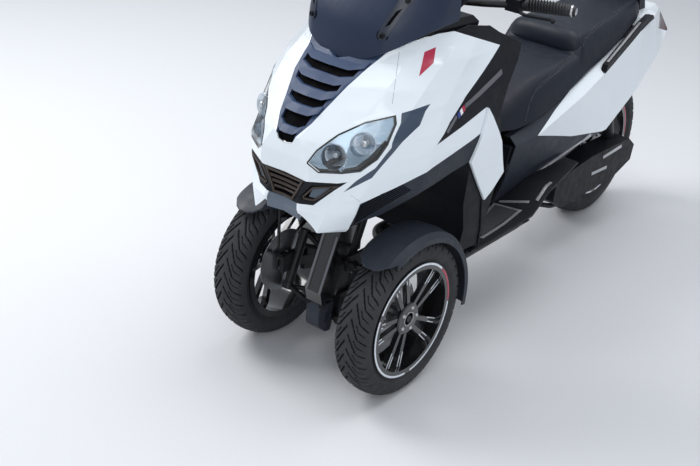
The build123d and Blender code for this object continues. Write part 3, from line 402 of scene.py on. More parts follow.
def turn_outwards(piece, weld=0.0):
    """Turns the faces of a closed mesh outwards, with points nearer than the weld distance made one first."""
    tool = bmesh.new()
    tool.from_mesh(piece.data)
    if weld:
        bmesh.ops.remove_doubles(tool, verts=tool.verts, dist=weld)
    bmesh.ops.recalc_face_normals(tool, faces=tool.faces)
    tool.to_mesh(piece.data)
    tool.free()


def grid_faces(rows, columns, around=False, closed=False):
    """Faces over a grid of points, also from its last column or row to its first where wanted."""
    faces = []
    for i in range(rows if closed else rows - 1):
        here = i * columns
        after = (i + 1) % rows * columns
        for j in range(columns if around else columns - 1):
            m = (j + 1) % columns
            faces.append((here + j, here + m, after + m, after + j))
    return faces


def tube_faces(rings, sides):
    """Faces over rings of points, closed at both ends."""
    last = rings * sides
    ends = [tuple(reversed(range(sides))), tuple(range(last - sides, last))]
    return grid_faces(rings, sides, around=True) + ends


def double_faces(rows, columns):
    """Faces over a grid of points and over a second grid behind it."""
    count = rows * columns
    faces = grid_faces(rows, columns)
    return faces + [tuple(count + index for index in reversed(face)) for face in faces]


def gathered(shapes, both):
    """Vertices and faces of small shapes in one, also on the vehicle's other side where wanted."""
    vertices = []
    faces = []
    for points, sides in shapes:
        first = len(vertices)
        vertices += [Vector(point) for point in points]
        faces += [tuple(first + index for index in face) for face in sides]
    if both:
        first = len(vertices)
        faces += [tuple(first + index for index in reversed(face)) for face in faces]
        vertices += [Vector((v.x, -v.y, v.z)) for v in vertices]
    return vertices, faces


def shapes_piece(name, shapes, finish, body="chassis", both=True, width=0.0004):
    """Piece made of closed shapes, on both sides of the vehicle and with rounded edges where wanted."""
    piece = mesh_piece(name, *gathered(shapes, both), finish, body)
    turn_outwards(piece)
    if width:
        soften(piece, width)
    return piece


def square_to(axis):
    """An axis and two directions square to it and to each other."""
    axis = Vector(axis).normalized()
    aside = axis.orthogonal().normalized()
    return axis, aside, axis.cross(aside)


def lathe(profile, point, axis, segments=24):
    """Shape turned about an axis from (radius, height) points, closed at both ends."""
    axis, aside, across = square_to(axis)
    vertices = []
    for radius, height in profile:
        for step in range(segments):
            turn = math.tau * step / segments
            out = aside * math.cos(turn) + across * math.sin(turn)
            vertices.append(point + axis * height + out * radius)
    return vertices, tube_faces(len(profile), segments)


def tube(points, radius, segments=10):
    """Round tube along points, closed at its ends."""
    vertices = []
    side = None
    for number, here in enumerate(points):
        before = points[max(number - 1, 0)]
        after = points[min(number + 1, len(points) - 1)]
        axis = (after - before).normalized()
        side = axis.orthogonal() if side is None else side - axis * side.dot(axis)
        side.normalize()
        other = axis.cross(side)
        for step in range(segments):
            turn = math.tau * step / segments
            vertices.append(here + (side * math.cos(turn) + other * math.sin(turn)) * radius)
    return vertices, tube_faces(len(points), segments)


def smooth_values(places, values, wanted):
    """Values at wanted places on a smooth curve through a table, without overshoot."""
    places = np.array(places, float)
    values = np.array(values, float)
    shape = (-1, *([1] * (values.ndim - 1)))
    steps = np.diff(places)
    slopes = np.diff(values, axis=0) / steps.reshape(shape)
    before = slopes[:-1]
    after = slopes[1:]
    inner = np.where(after * before > 0, 2 * after * before / (after + before + 1e-12), 0)
    tangents = np.concatenate([slopes[:1], inner, slopes[-1:]])
    index = np.clip(np.searchsorted(places, wanted) - 1, 0, len(places) - 2)
    width = steps[index].reshape(shape)
    t = ((wanted - places[index]) / steps[index]).reshape(shape)
    return ((2 * t**3 - 3 * t**2 + 1) * values[index] + (t**3 - 2 * t**2 + t) * width * tangents[index]
            + (3 * t**2 - 2 * t**3) * values[index + 1] + (t**3 - t**2) * width * tangents[index + 1])


def run_of(points):
    """Distance along a polyline at each of its points."""
    steps = np.linalg.norm(np.diff(np.array(points, float), axis=0), axis=1)
    return np.concatenate([[0], np.cumsum(steps)])


def along(points, count):
    """Evenly spaced points on a polyline."""
    run = run_of(points)
    wanted = np.linspace(0, run[-1], count)
    return np.stack([np.interp(wanted, run, column) for column in np.array(points, float).T], axis=1)


def inset(points, depth):
    """Closed outline moved inwards by a depth, corner for corner."""
    area = sum(a[0] * b[1] - b[0] * a[1] for a, b in zip(points, points[1:] + points[:1]))
    turn = math.copysign(1, area)
    moved = []
    for before, here, after in zip(points[-1:] + points[:-1], points, points[1:] + points[:1]):
        first = (Vector(here) - Vector(before)).normalized()
        second = (Vector(after) - Vector(here)).normalized()
        across = Vector((-first.y - second.y, first.x + second.x)).normalized() * turn
        share = across.dot(Vector((-first.y, first.x)) * turn)
        moved.append(tuple(Vector(here) + across * depth / max(share, 0.4)))
    return moved


# Distances from which the part is looked at along its axes
FAR_X = 1500
FAR_Y = 700
FAR_Z = 1700
# Rays for each way of looking at the part: start and direction for a pair of drawing measures
VIEWS = {
    "front": lambda a, b: (at(FAR_X, a, b), Vector((-1, 0, 0))),
    "rear": lambda a, b: (at(-FAR_X, a, b), Vector((1, 0, 0))),
    "side": lambda a, b: (at(a, FAR_Y, b), Vector((0, -1, 0))),
    "top": lambda a, b: (at(a, b, FAR_Z), Vector((0, 0, -1))),
    "photo": lambda a, b: (CAMERA_AT, sight((a, b))),
}


def laid(tree, view, places):
    """Points and outward normals where places of a view fall on a surface, or near its edge."""
    found = []
    for a, b in places:
        start, direction = VIEWS[view](a, b)
        point, normal, _, _ = tree.ray_cast(start, direction)
        if point is None:
            depth = (found[-1][0] - start).dot(direction) if found else 1.5
            point, normal, _, _ = tree.find_nearest(start + direction * depth)
        found.append((point, normal if normal.dot(direction) < 0 else -normal))
    return found


def overlay(tree, view, first, second, lift=0.0008, far_lift=None, sink=0.002, rows=12, columns=4):
    """Thin slab on a surface between two edges drawn in a view; far_lift is its height at the second edge."""
    far_lift = lift if far_lift is None else far_lift
    top = []
    bottom = []
    shares = np.linspace(0, 1, columns)
    for a, b in zip(along(first, rows), along(second, rows)):
        found = laid(tree, view, [a + (b - a) * share for share in shares])
        for share, (point, normal) in zip(shares, found):
            top.append(point + normal * (lift + (far_lift - lift) * share))
            bottom.append(point - normal * sink)
    count = rows * columns
    faces = double_faces(rows, columns)
    rim = [i * columns for i in range(rows)] + [(rows - 1) * columns + j for j in range(1, columns)]
    rim += [i * columns + columns - 1 for i in range(rows - 2, -1, -1)] + list(range(columns - 2, 0, -1))
    for here, after in zip(rim, rim[1:] + rim[:1]):
        faces.append((here, after, count + after, count + here))
    return top + bottom, faces


def ring_overlay(tree, view, outline, width, lift, sink=0.002, rows=6):
    """Band along the inside of a closed outline."""
    outer = [*outline, outline[0]]
    inner = inset(list(outline), width)
    inner.append(inner[0])
    return [overlay(tree, view, [a, b], [c, d], lift, sink=sink, rows=rows, columns=2)
            for a, b, c, d in zip(outer, outer[1:], inner, inner[1:])]


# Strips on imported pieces: the pieces below, the view, the finish, whether both sides have it, its height,
# the width of its rounded edges, its points along and across, and its pairs of edges
STRIPS = {
    "infill_strips": (["side_infill_panels"], "side", "strip_grey", True, 0.003, 0.0008, 18, 4,
                      [[[(486, 916), (560, 893), (664, 860)], [(486, 903), (560, 880), (664, 848)]]]),
    "infill_low_strips": (["side_infill_panels"], "side", "strip_grey", True, 0.002, 0.0006, 10, 4,
                          [[[(704, 839), (744, 803)], [(698, 831), (738, 796)]]]),
    "floor_ledges": (["floor_boards"], "top", "silver", True, 0.002, 0.0005, 8, 3,
                     [[[(146, 134), (112, 224)], [(154, 134), (120, 226)]]]),
    "sill_strips": (["floor_boards"], "top", "silver", True, 0.003, 0.0005, 10, 3,
                    [[[(16, 245), (104, 250)], [(16, 235), (104, 240)]]]),
    "case_accents": (["transmission_case"], "side", "silver", False, 0.0015, 0.0005, 8, 3,
                     [[[(-430, 282), (-545, 275)], [(-432, 270), (-548, 262)]],
                      [[(-500, 326), (-640, 332)], [(-504, 314), (-644, 318)]]]),
    "cowl_strips": (["side_cowls"], "side", "silver", True, 0.0025, 0.0006, 20, 3,
                    [[[(24, 391), (-60, 414), (-200, 452), (-330, 480)],
                      [(24, 374), (-60, 396), (-206, 435), (-336, 468)]]]),
    "rail_inlays": (["grab_rails"], "top", "silver", True, 0.001, 0.0004, 20, 3,
                    [[[(-368, 186), (-640, 155)], [(-368, 177.5), (-640, 146.5)]]]),
    "lamp_strips": (["tail_lamps", "rear_side_panels", "tail_panel"], "side", "silver", True, 0.001, 0.0003,
                    8, 3, [[[(-893, 722), (-948, 742)], [(-893, 716), (-948, 736)]]]),
    "column_strips": (["front_column_cover"], "front", "strip_grey", True, 0.0012, 0.0004, 20, 3,
                      [[[(28, 425), (28, 330), (28, 262)], [(20, 425), (20, 330), (20, 262)]]]),
    "column_lines": (["front_column_cover"], "front", "bronze", True, 0.001, 0.0002, 20, 2,
                     [[[(18, 425), (18, 330), (18, 262)], [(16.5, 425), (16.5, 330), (16.5, 262)]]]),
    "mirror_glass": (["mirrors"], "rear", "chrome", True, 0.0012, 0.0006, 8, 6,
                     [[[(276, 1208), (404, 1208)], [(280, 1276), (408, 1276)]]]),
    "instrument_face": (["dashboard"], "top", "gloss_black", False, 0.001, 0.0004, 16, 10,
                        [[[(604, -86), (604, 86)], [(690, -70), (690, 70)]]]),
}


def make_strips(*names):
    """Strips of the table, one piece for each name."""
    for name in names:
        below, view, finish, both, lift, width, rows, columns, pairs = STRIPS[name]
        tree = tree_of(*below)
        shapes = [overlay(tree, view, *edges, lift, rows=rows, columns=columns) for edges in pairs]
        shapes_piece(name, shapes, finish, both=both, width=width)


# Seat and backrest

SEAT_STATIONS = [
    (232, 604, 112, (98, 642), (60, 652), 654),
    (150, 607, 158, (132, 668), (100, 694), 701),
    (40, 629, 176, (151, 702), (112, 738), 744),
    (-100, 662, 176, (153, 727), (116, 752), 757),
    (-215, 693, 171, (151, 746), (118, 765), 769),
    (-250, 702, 168, (149, 776), (118, 822), 832),
    (-430, 745, 160, (140, 801), (112, 829), 835),
    (-640, 796, 132, (120, 833), (96, 847), 851),
    (-712, 808, 108, (100, 836), (80, 849), 851),
]
# Sewn lines of the left half: (x, y, z) in millimetres
SIDE_SEAM = [(-700, 84, 848), (-520, 104, 838), (-428, 110, 831), (-306, 124, 812), (-262, 128, 800),
             (-225, 126, 762), (-106, 138, 742), (-6, 143, 722), (50, 146, 706), (80, 152, 676),
             (100, 160, 645), (112, 166, 622)]
FRONT_SEAM = [(120, 0, 716), (130, 50, 708), (145, 84, 694), (185, 100, 664), (207, 118, 616)]
REAR_SEAM = [(-330, 0, 838), (-345, 60, 836), (-380, 100, 830)]
STRETCH_LINES = [(-198, 118), (-186, 104), (-174, 92), (-161, 78), (-148, 62), (-134, 44)]
SEAT_ROWS = 250
SEAT_COLUMNS = 121
# Depth and half width of the sewn grooves and of the stretch lines, and how far these bow back
SEAM_DEPTH = 2.6
SEAM_HALF_W = 3.2
STRETCH_DEPTH = 1.3
STRETCH_HALF_W = 2.6
STRETCH_BOW = 16
STRETCH_BOW_W = 118
STRETCH_FADE = 6
STRETCH_LOW_Z = 735
# Hollow in the middle of the rider's place
HOLLOW_DEPTH = 5
HOLLOW_X = -60
HOLLOW_HALF_L = 130
HOLLOW_HALF_W = 70
STITCH_ASIDE = 4
STITCH_STEP = 4
STITCH_R = 0.0007
STITCH_LIFT = 0.0002


def seat_surface():
    """Rows of points over the top of the seat, in drawing millimetres, from nose to tail."""
    table = sorted(SEAT_STATIONS)
    places = [row[0] for row in table]
    values = [[row[1], row[2], *row[3], *row[4], row[5]] for row in table]
    wanted = np.linspace(places[0], places[-1], SEAT_ROWS)
    rows = []
    for x, section in zip(wanted, smooth_values(places, values, wanted)):
        low, edge, side, side_z, shoulder, shoulder_z, crown = section
        half = [(edge - 1, low), (side - 0.5, side_z), (shoulder, shoulder_z), (shoulder * 0.5, crown - 2),
                (0, crown)]
        profile = half + [(-y, z) for y, z in reversed(half[:-1])]
        run = run_of(profile)
        outline = smooth_values(run, profile, np.linspace(0, run[-1], SEAT_COLUMNS))
        rows.append([(x, y, z) for y, z in outline])
    return np.array(rows)


def distance_to_line(points, line):
    """Distance of each point to a polyline."""
    best = np.full(points.shape[:-1], 1e9)
    for start, end in zip(line, line[1:]):
        start, end = np.array(start, float), np.array(end, float)
        run = end - start
        share = np.clip(((points - start) @ run) / (run @ run), 0, 1)
        best = np.minimum(best, np.linalg.norm(points - start - share[..., None] * run, axis=-1))
    return best


def both_halves(*lines):
    """Lines of the left half, each followed by its mirror image."""
    return [half for line in lines for half in (line, [(x, -y, z) for x, y, z in line])]


def on_seat(line, grid):
    """A line carried to the nearest points of the seat's surface."""
    count = int(run_of(line)[-1] / STITCH_STEP)
    flat = grid.reshape(-1, 3)
    laid_points = []
    for point in along(line, count):
        nearest = flat[np.argmin(((flat - point) ** 2).sum(axis=1))]
        laid_points.append(at(*nearest) + Vector((0, 0, STITCH_LIFT)))
    return laid_points


def make_seat():
    """Upholstered cushion with sewn grooves, a stitched edge and stretch lines before the step."""
    grid = seat_surface()
    plain = grid.copy()
    x, y, z = np.moveaxis(grid, -1, 0)
    drop = HOLLOW_DEPTH * np.exp(-(y / HOLLOW_HALF_W) ** 2) * np.exp(-((x - HOLLOW_X) / HOLLOW_HALF_L) ** 2)
    for line in both_halves(SIDE_SEAM, FRONT_SEAM, REAR_SEAM):
        drop += SEAM_DEPTH * np.exp(-(distance_to_line(grid, line) / SEAM_HALF_W) ** 2)
    for place, half in STRETCH_LINES:
        bow = place + STRETCH_BOW * (y / STRETCH_BOW_W) ** 2
        fade = (z > STRETCH_LOW_Z) / (1 + np.exp((np.abs(y) - half) / STRETCH_FADE))
        drop += STRETCH_DEPTH * np.exp(-((x - bow) / STRETCH_HALF_W) ** 2) * fade
    normals = np.cross(np.gradient(grid, axis=0), np.gradient(grid, axis=1))
    normals /= np.linalg.norm(normals, axis=-1, keepdims=True)
    normals *= np.sign(normals[SEAT_ROWS // 2, SEAT_COLUMNS // 2, 2])
    grid = grid - normals * drop[..., None]
    vertices = [at(*point) for row in grid for point in row]
    faces = grid_faces(SEAT_ROWS, SEAT_COLUMNS)
    across = SEAT_COLUMNS - 1
    left = range(0, len(vertices), SEAT_COLUMNS)
    faces += [(a, b, b + across, a + across) for a, b in zip(left, left[1:])]
    faces.append(tuple(range(SEAT_COLUMNS)))
    faces.append(tuple(reversed(range(len(vertices) - SEAT_COLUMNS, len(vertices)))))
    cushion = mesh_piece("seat_cushion", vertices, faces, "leather", "seat")
    turn_outwards(cushion)
    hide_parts("seat")
    stitches = []
    for line in both_halves(SIDE_SEAM, FRONT_SEAM):
        for offset in (-STITCH_ASIDE, STITCH_ASIDE):
            shifted = [(x, y + (offset if y >= 0 else -offset), z) for x, y, z in line]
            dashes = on_seat(shifted, plain)
            stitches += [tube(dashes[start:start + 2], STITCH_R, 6) for start in range(0, len(dashes) - 1, 2)]
    shapes_piece("seat_stitches", stitches, "thread", "seat", both=False, width=0)
    make_bolster()


BOLSTER_HALF_W = 141
BOLSTER_ROWS = 72
BOLSTER_SIDES = 28
BOLSTER_X = -236
BOLSTER_Z = 800
BOLSTER_HALF_T = 27
BOLSTER_HALF_H = 37
# How far its ends go back and down, and how small they are
BOLSTER_BACK = 14
BOLSTER_DOWN = 24
BOLSTER_LEAN = 8
BOLSTER_END = 0.12
BOLSTER_SQUARENESS = 0.8


def squared(value):
    """A sine or cosine of a rounded square."""
    return math.copysign(abs(value) ** BOLSTER_SQUARENESS, value)


def make_bolster():
    """Raised pad across the step of the seat, thick in the middle and drawn to its ends."""
    vertices = []
    for share in np.linspace(-1, 1, BOLSTER_ROWS):
        body = max(1 - share**6, 0.0) ** 0.4
        size = max(body, BOLSTER_END)
        x = BOLSTER_X - BOLSTER_BACK * abs(share) ** 3
        z = BOLSTER_Z - BOLSTER_DOWN * share**4
        for step in range(BOLSTER_SIDES):
            turn = math.tau * step / BOLSTER_SIDES
            out = squared(math.cos(turn))
            rise = BOLSTER_HALF_H * squared(math.sin(turn)) * size - BOLSTER_LEAN * out * body
            vertices.append(at(x + BOLSTER_HALF_T * out * size, BOLSTER_HALF_W * share, z + rise))
    pad = mesh_piece("seat_bolster", vertices, tube_faces(BOLSTER_ROWS, BOLSTER_SIDES), "leather", "seat")
    turn_outwards(pad)


BACKREST_AT = (-745, 0, 915)
BACKREST_TURN = -8
BACKREST_SIZE = (44, 250, 120)
BACKREST_ROWS = 61
BACKREST_COLUMNS = 101
BACKREST_WELD = 0.0002
# Shares of the depth: the crown of the sewn panel, the rim's front and the back
CROWN_SHARE = 0.35
FRONT_SHARE = 0.14
BACK_SHARE = 0.46
PANEL_SEAM_DEPTH = 2.4
PANEL_SEAM_HALF_W = 0.09


def make_backrest():
    """Crowned pad with a sewn panel, in the place of the plain block."""
    depth, width, height = BACKREST_SIZE
    turn = Matrix.Rotation(math.radians(BACKREST_TURN), 3, "Y")
    front = []
    back = []
    for v in np.linspace(-1, 1, BACKREST_ROWS):
        for u in np.linspace(-1, 1, BACKREST_COLUMNS):
            edge = max(1 - abs(u) ** 5, 0) ** 0.3 * max(1 - abs(v) ** 4, 0) ** 0.3
            y = u * width / 2 * (1 - 0.05 * abs(v) ** 3)
            z = v * height / 2 * (1 - 0.06 * abs(u) ** 3)
            seam = abs(math.hypot(max(abs(u) * 5.2 - 3.4, 0), max(abs(v) * 2.4 - 0.9, 0)) - 0.8)
            groove = PANEL_SEAM_DEPTH * math.exp(-(seam / PANEL_SEAM_HALF_W) ** 2)
            front.append(turn @ Vector((((CROWN_SHARE + FRONT_SHARE) * depth - groove) * edge, y, z)))
            back.append(turn @ Vector((-depth * BACK_SHARE * min(edge * 1.4, 1), y, z)))
    vertices = [at(*BACKREST_AT) + point / 1000 for point in front + back]
    faces = double_faces(BACKREST_ROWS, BACKREST_COLUMNS)
    pad = mesh_piece("backrest_pad", vertices, faces, "leather", "chassis")
    turn_outwards(pad, BACKREST_WELD)
    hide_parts("backrest")


# Wheels

WHEELS = {
    "front_left": {"centre": (810, 232.5, 242), "width": 110, "bead": 165, "side": 1},
    "front_right": {"centre": (810, -232.5, 242), "width": 110, "bead": 165, "side": -1},
    "rear": {"centre": (-690, 0, 276), "width": 140, "bead": 178, "side": 1},
}
BEAD_INSET = 10
RIM_LIP = 13
RIM_LIP_T = 6
RIM_T = 7
SPOKE_PAIRS = 5
SPOKE_FACE = 32
TREAD_PITCHES = 34
TREAD_ROWS = 612
TREAD_COLUMNS = 97
GROOVE_HALF_W = 2.1
GROOVE_DEPTH = 3.5
TREAD_EDGE = 0.66
# Main and short grooves of the chevrons: place in the pitch, start and end as shares of the tread's half
# width, and share of the groove's width
GROOVES = [(0, 0.05, 0.98, 1.0), (0.5, 0.34, 0.8, 0.62)]
# Slant of the grooves in the middle of the tread and beyond it, and where it changes
SLANT_INNER = 1.75
SLANT_OUTER = 0.55
SLANT_CHANGE = 0.5
# Places below the tread and height of the rings on the walls
WALL_RINGS = [9, 21]
WALL_RING_DEPTH = 0.8
WALL_RING_HALF_W = 1.2


def tread_depth(around, across, half, pitch):
    """Depth of the tread's grooves at a distance around the tyre and across its crown."""
    reach = np.abs(across)
    middle = reach < SLANT_CHANGE * half
    beyond = SLANT_INNER * SLANT_CHANGE * half + SLANT_OUTER * (reach - SLANT_CHANGE * half)
    sweep = np.where(middle, SLANT_INNER * reach, beyond)
    shift = np.where(across > 0, 0.5 * pitch, 0)
    slope = np.where(middle, 0.5, 0.88)
    total = np.zeros_like(around)
    for offset, start, end, width in GROOVES:
        phase = (around + sweep + shift + offset * pitch) % pitch
        away = np.minimum(phase, pitch - phase)
        groove = 1 / (1 + np.exp((away * slope - GROOVE_HALF_W * width) / 0.45))
        groove *= 1 / (1 + np.exp((start * half - reach) / 0.8)) / (1 + np.exp((reach - end * half) / 0.8))
        total = np.maximum(total, groove)
    return GROOVE_DEPTH * total


def make_tyre(name):
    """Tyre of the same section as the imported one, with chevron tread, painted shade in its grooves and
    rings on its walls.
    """
    wheel = WHEELS[name]
    x, y, radius = wheel["centre"]
    half = wheel["width"] / 2
    tread = radius - wheel["bead"]
    low = wheel["bead"] + RIM_LIP + 1
    bead_half = half - BEAD_INSET
    side = [(bead_half, wheel["bead"]), (bead_half, low), (half, wheel["bead"] + 0.42 * tread),
            (half * 0.92, wheel["bead"] + 0.76 * tread), (half * 0.52, wheel["bead"] + 0.95 * tread),
            (0, radius)]
    profile = side + [(-dy, r) for dy, r in reversed(side[:-1])]
    run = run_of(profile)
    wanted = np.linspace(0, run[-1], TREAD_COLUMNS)
    outline = smooth_values(run, profile, wanted)
    across = wanted - run[-1] / 2
    tread_half = TREAD_EDGE * (run[-1] / 2 - (low - wheel["bead"]))
    turns = np.linspace(0, math.tau, TREAD_ROWS, endpoint=False)
    pitch = math.tau * radius / TREAD_PITCHES
    around = (turns * radius)[:, None] + 0 * across[None, :]
    depth = tread_depth(around, across[None, :] + 0 * around, tread_half, pitch)
    inwards = np.gradient(outline, axis=0)
    inwards = np.stack([-inwards[:, 1], inwards[:, 0]], axis=1)
    inwards /= np.linalg.norm(inwards, axis=1, keepdims=True)
    inwards *= -np.sign(inwards[TREAD_COLUMNS // 2, 1])
    wall = np.abs(across) - tread_half
    rings = sum(np.exp(-((wall - place) / WALL_RING_HALF_W) ** 2) for place in WALL_RINGS)
    sunk = depth + WALL_RING_DEPTH * rings
    dy = outline[:, 0] + inwards[:, 0] * sunk
    dr = outline[:, 1] + inwards[:, 1] * sunk
    xs = x + dr * np.cos(turns)[:, None]
    zs = radius + dr * np.sin(turns)[:, None]
    vertices = [at(*point) for point in np.stack([xs, y + dy, zs], axis=-1).reshape(-1, 3)]
    faces = grid_faces(TREAD_ROWS, TREAD_COLUMNS, around=True, closed=True)
    piece = mesh_piece(f"tread_{name}", vertices, faces, "rubber", f"wheel_{name}")
    # The deep parts of the grooves get the darker groove finish: painted shade in the grooves
    piece.data.materials.append(MATERIALS["groove"])
    deep = (depth > 0.5 * GROOVE_DEPTH).astype(int)
    piece.data.polygons.foreach_set("material_index", deep.ravel())
    turn_outwards(piece)
    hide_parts(f"tyre_{name}")


def on_wheel(centre, turn, radius, out):
    """Point of a wheel at a turn in degrees, a radius and a distance out from its middle plane."""
    x, y, z = centre
    angle = math.radians(turn)
    return at(x + radius * math.cos(angle), y + out, z + radius * math.sin(angle))


def arc_band(wheel, from_turn, to_turn, inner, outer, out, thickness):
    """Flat band on a wheel's face between two turns and two radii."""
    steps = max(2, round(abs(to_turn - from_turn) / 3))
    vertices = []
    for turn in np.linspace(from_turn, to_turn, steps + 1):
        under = out - thickness
        for radius, height in ((inner, out), (outer, out), (outer, under), (inner, under)):
            vertices.append(on_wheel(wheel["centre"], turn, radius, wheel["side"] * height))
    return vertices, tube_faces(steps + 1, 4)


# Turns, in degrees, between which the pin stripe is white and red
STRIPE_ARCS = {
    "stripe": ("pin_silver", [(182, 266), (-86, 22), (28, 134)]),
    "red_stripe": ("red", [(136, 180)]),
}
STRIPE_INSET = (8, 2)
STRIPE_LIFT = 0.9
STRIPE_T = 1.2
# Bright edges of the arms of a spoke: distance from its middle line at the hub and at the rim, and the
# shares of the way out at which they start and end
SPOKE_EDGES = [(14.5, 36, 0.62, 0.97), (6.5, 22.5, 0.7, 0.97)]
SPOKE_EDGE_HALF_W = 1.6
SPOKE_EDGE_HEIGHTS = (0.7, -0.5)
SPOKE_START_R = 22
HUB_COVER = [(0.049, -0.004), (0.049, 0.002), (0.045, 0.0045), (0.024, 0.0055), (0.022, 0.0035),
             (0.012, 0.003)]
HUB_RING = [(0.0225, 0.004), (0.0225, 0.0062), (0.0205, 0.0066), (0.0195, 0.0062), (0.0195, 0.004)]
STUD = [(0.006, -0.003), (0.006, 0.003), (0.0045, 0.0045), (0.002, 0.005)]
STUD_TURN = 36
STUD_CIRCLE_R = 35
STUD_LIFT = 5


def spoke_edge(wheel, turn, lean, edge):
    """Bright bar along one arm of a spoke."""
    near, far, start, end = edge
    barrel = wheel["bead"] - RIM_T
    corners = []
    half = SPOKE_EDGE_HALF_W
    for share, width in ((start, -half), (start, half), (end, half), (end, -half)):
        radius = SPOKE_START_R + (barrel - SPOKE_START_R) * share
        offset = lean * (near + (far - near) * share + width)
        corners.append((math.degrees(math.atan2(offset, radius)), math.hypot(radius, offset)))
    vertices = [on_wheel(wheel["centre"], turn + lag, radius, wheel["side"] * (SPOKE_FACE + height))
                for height in SPOKE_EDGE_HEIGHTS for lag, radius in corners]
    return vertices, tube_faces(2, 4)


def make_wheel_trim(name):
    """Pin stripe, bright spoke edges, hub cover and its studs."""
    wheel = WHEELS[name]
    body = f"wheel_{name}"
    face = wheel["width"] / 2 - BEAD_INSET + RIM_LIP_T + STRIPE_LIFT
    radii = [wheel["bead"] + RIM_LIP - depth for depth in STRIPE_INSET]
    for stripe, (finish, arcs) in STRIPE_ARCS.items():
        bands = [arc_band(wheel, *arc, *radii, face, STRIPE_T) for arc in arcs]
        shapes_piece(f"{stripe}_{name}", bands, finish, body, both=False)
    turns = [number * 360 / SPOKE_PAIRS for number in range(SPOKE_PAIRS)]
    edges = [spoke_edge(wheel, -turn, lean, edge)
             for turn in turns for lean in (-1, 1) for edge in SPOKE_EDGES]
    shapes_piece(f"spoke_edges_{name}", edges, "pin_silver", body, both=False)
    axis = Vector((0, wheel["side"], 0))
    middle = on_wheel(wheel["centre"], 0, 0, wheel["side"] * SPOKE_FACE)
    shapes_piece(f"hub_cover_{name}", [lathe(HUB_COVER, middle, axis, 40)], "gloss_black", body, both=False)
    studs = []
    top = wheel["side"] * (SPOKE_FACE + STUD_LIFT)
    for turn in turns:
        point = on_wheel(wheel["centre"], STUD_TURN + turn, STUD_CIRCLE_R, top)
        studs.append(lathe(STUD, point, axis, 12))
    studs.append(lathe(HUB_RING, middle, axis, 40))
    shapes_piece(f"hub_studs_{name}", studs, "steel", body, both=False, width=0.0003)


# Louvre and grille

LOUVRE_EDGE = [(774, 24), (805, 36), (835, 55), (875, 70), (925, 90), (965, 105), (1003, 125)]
LOUVRE_MIDDLE_Z = 880
# Bars of the louvre seen from the front: half width of the flat middle and height, of the lower
# edge and then of the upper edge
LOUVRE_BARS = [(22, 804, 24, 818), (38, 850, 34, 865), (48, 887, 42, 902), (56, 920, 50, 935),
               (64, 954, 78, 967)]
BAR_RISE = 9
BAR_ROWS = 41
BAR_OUT = 0.010
BAR_TOP_OUT = 0.0005
BAR_BACK = -0.004
BAR_END_GAP = 4
BAR_SPREAD = 3
BAR_DRAWN_BACK = 0.75
BACKS_DEPTH = 0.0093
HEX_OUTLINE = [(68, 687), (36, 619), (-36, 619), (-68, 687)]
POCKET_OUTLINE = [(88, 678), (58, 640), (64, 630), (92, 632), (150, 692)]
POCKET_WEDGE = [[(76, 642), (100, 640)], [(84, 664), (132, 680)]]
WEDGE_LIFTS = (0.0065, 0.001)
# Slats of the grille: lower and upper height and half width
SLAT_ROWS = [(635, 642, 33), (650, 657, 41), (664, 671, 50)]


def louvre_terms(y, z):
    """Terms of the surface that is fitted through the plates behind the louvre."""
    y = abs(y) / 100
    z = (z - LOUVRE_MIDDLE_Z) / 100
    return [1, y, y * y, z, z * z, y * z, z**3]


def louvre_front(tree, heights, widths):
    """Smooth surface through the plates behind the louvre: place forwards for a y and a z."""
    rows = []
    found = []
    for height in np.linspace(heights[0], heights[-1], 30):
        width = np.interp(height, heights, widths)
        for share in np.linspace(0, 0.8, 7):
            start, direction = VIEWS["front"](width * share, height)
            point = tree.ray_cast(start, direction)[0]
            if point is not None:
                rows.append(louvre_terms(width * share, height))
                found.append(point.x)
    terms = np.linalg.lstsq(np.array(rows), np.array(found), rcond=None)[0]
    return lambda y, z: float(np.dot(terms, louvre_terms(y, z)))


def make_louvre(tree):
    """Bars that stand out from the louvre like steps, drawn back where they meet the panel."""
    heights, widths = zip(*LOUVRE_EDGE)
    front = louvre_front(tree, heights, widths)
    shapes = []
    for low_flat, low, high_flat, high in LOUVRE_BARS:
        end = np.interp(low + BAR_RISE, heights, widths) - BAR_END_GAP
        lines = []
        for flat, height, reach in ((low_flat, low, end), (high_flat, high, end + BAR_SPREAD)):
            lines.append(along([(-reach, height + BAR_RISE), (-flat, height), (flat, height),
                                (reach, height + BAR_RISE)], BAR_ROWS))
        vertices = []
        for lower, upper in zip(*lines):
            bar_out = BAR_OUT * (1 - BAR_DRAWN_BACK * (abs(lower[0]) / end) ** 4)
            for (y, z), out in ((lower, BAR_BACK), (lower, bar_out), (upper, BAR_TOP_OUT), (upper, BAR_BACK)):
                vertices.append(Vector((front(y, z) + BACKS_DEPTH + out, *at(0, y, z)[1:])))
        shapes.append((vertices, tube_faces(BAR_ROWS, 4)))
    shapes_piece("louvre_bars", shapes, "slate", both=False, width=0.001)


def make_grille(tree):
    """Frame round the middle grille and its side pockets, with slats that stand forward."""
    frames = ring_overlay(tree, "front", HEX_OUTLINE, 6, BACKS_DEPTH + 0.004)
    for side in (1, -1):
        pocket = [(side * y, z) for y, z in POCKET_OUTLINE]
        frames += ring_overlay(tree, "front", pocket, 5, BACKS_DEPTH + 0.0025)
    shapes_piece("grille_frames", frames, "bronze", both=False, width=0.0006)
    slats = []
    for low, high, half in SLAT_ROWS:
        edges = [(-half - 2, low), (half + 2, low)], [(-half - 4, high), (half + 4, high)]
        lifts = BACKS_DEPTH + 0.003, BACKS_DEPTH + 0.0005
        slats.append(overlay(tree, "front", *edges, *lifts, rows=15, columns=3))
    shapes_piece("grille_slats", slats, "bronze", both=False)
    wedge = overlay(tree, "front", *POCKET_WEDGE, *WEDGE_LIFTS, rows=9)
    shapes_piece("pocket_wedges", [wedge], "steel_blue")


# Lamps

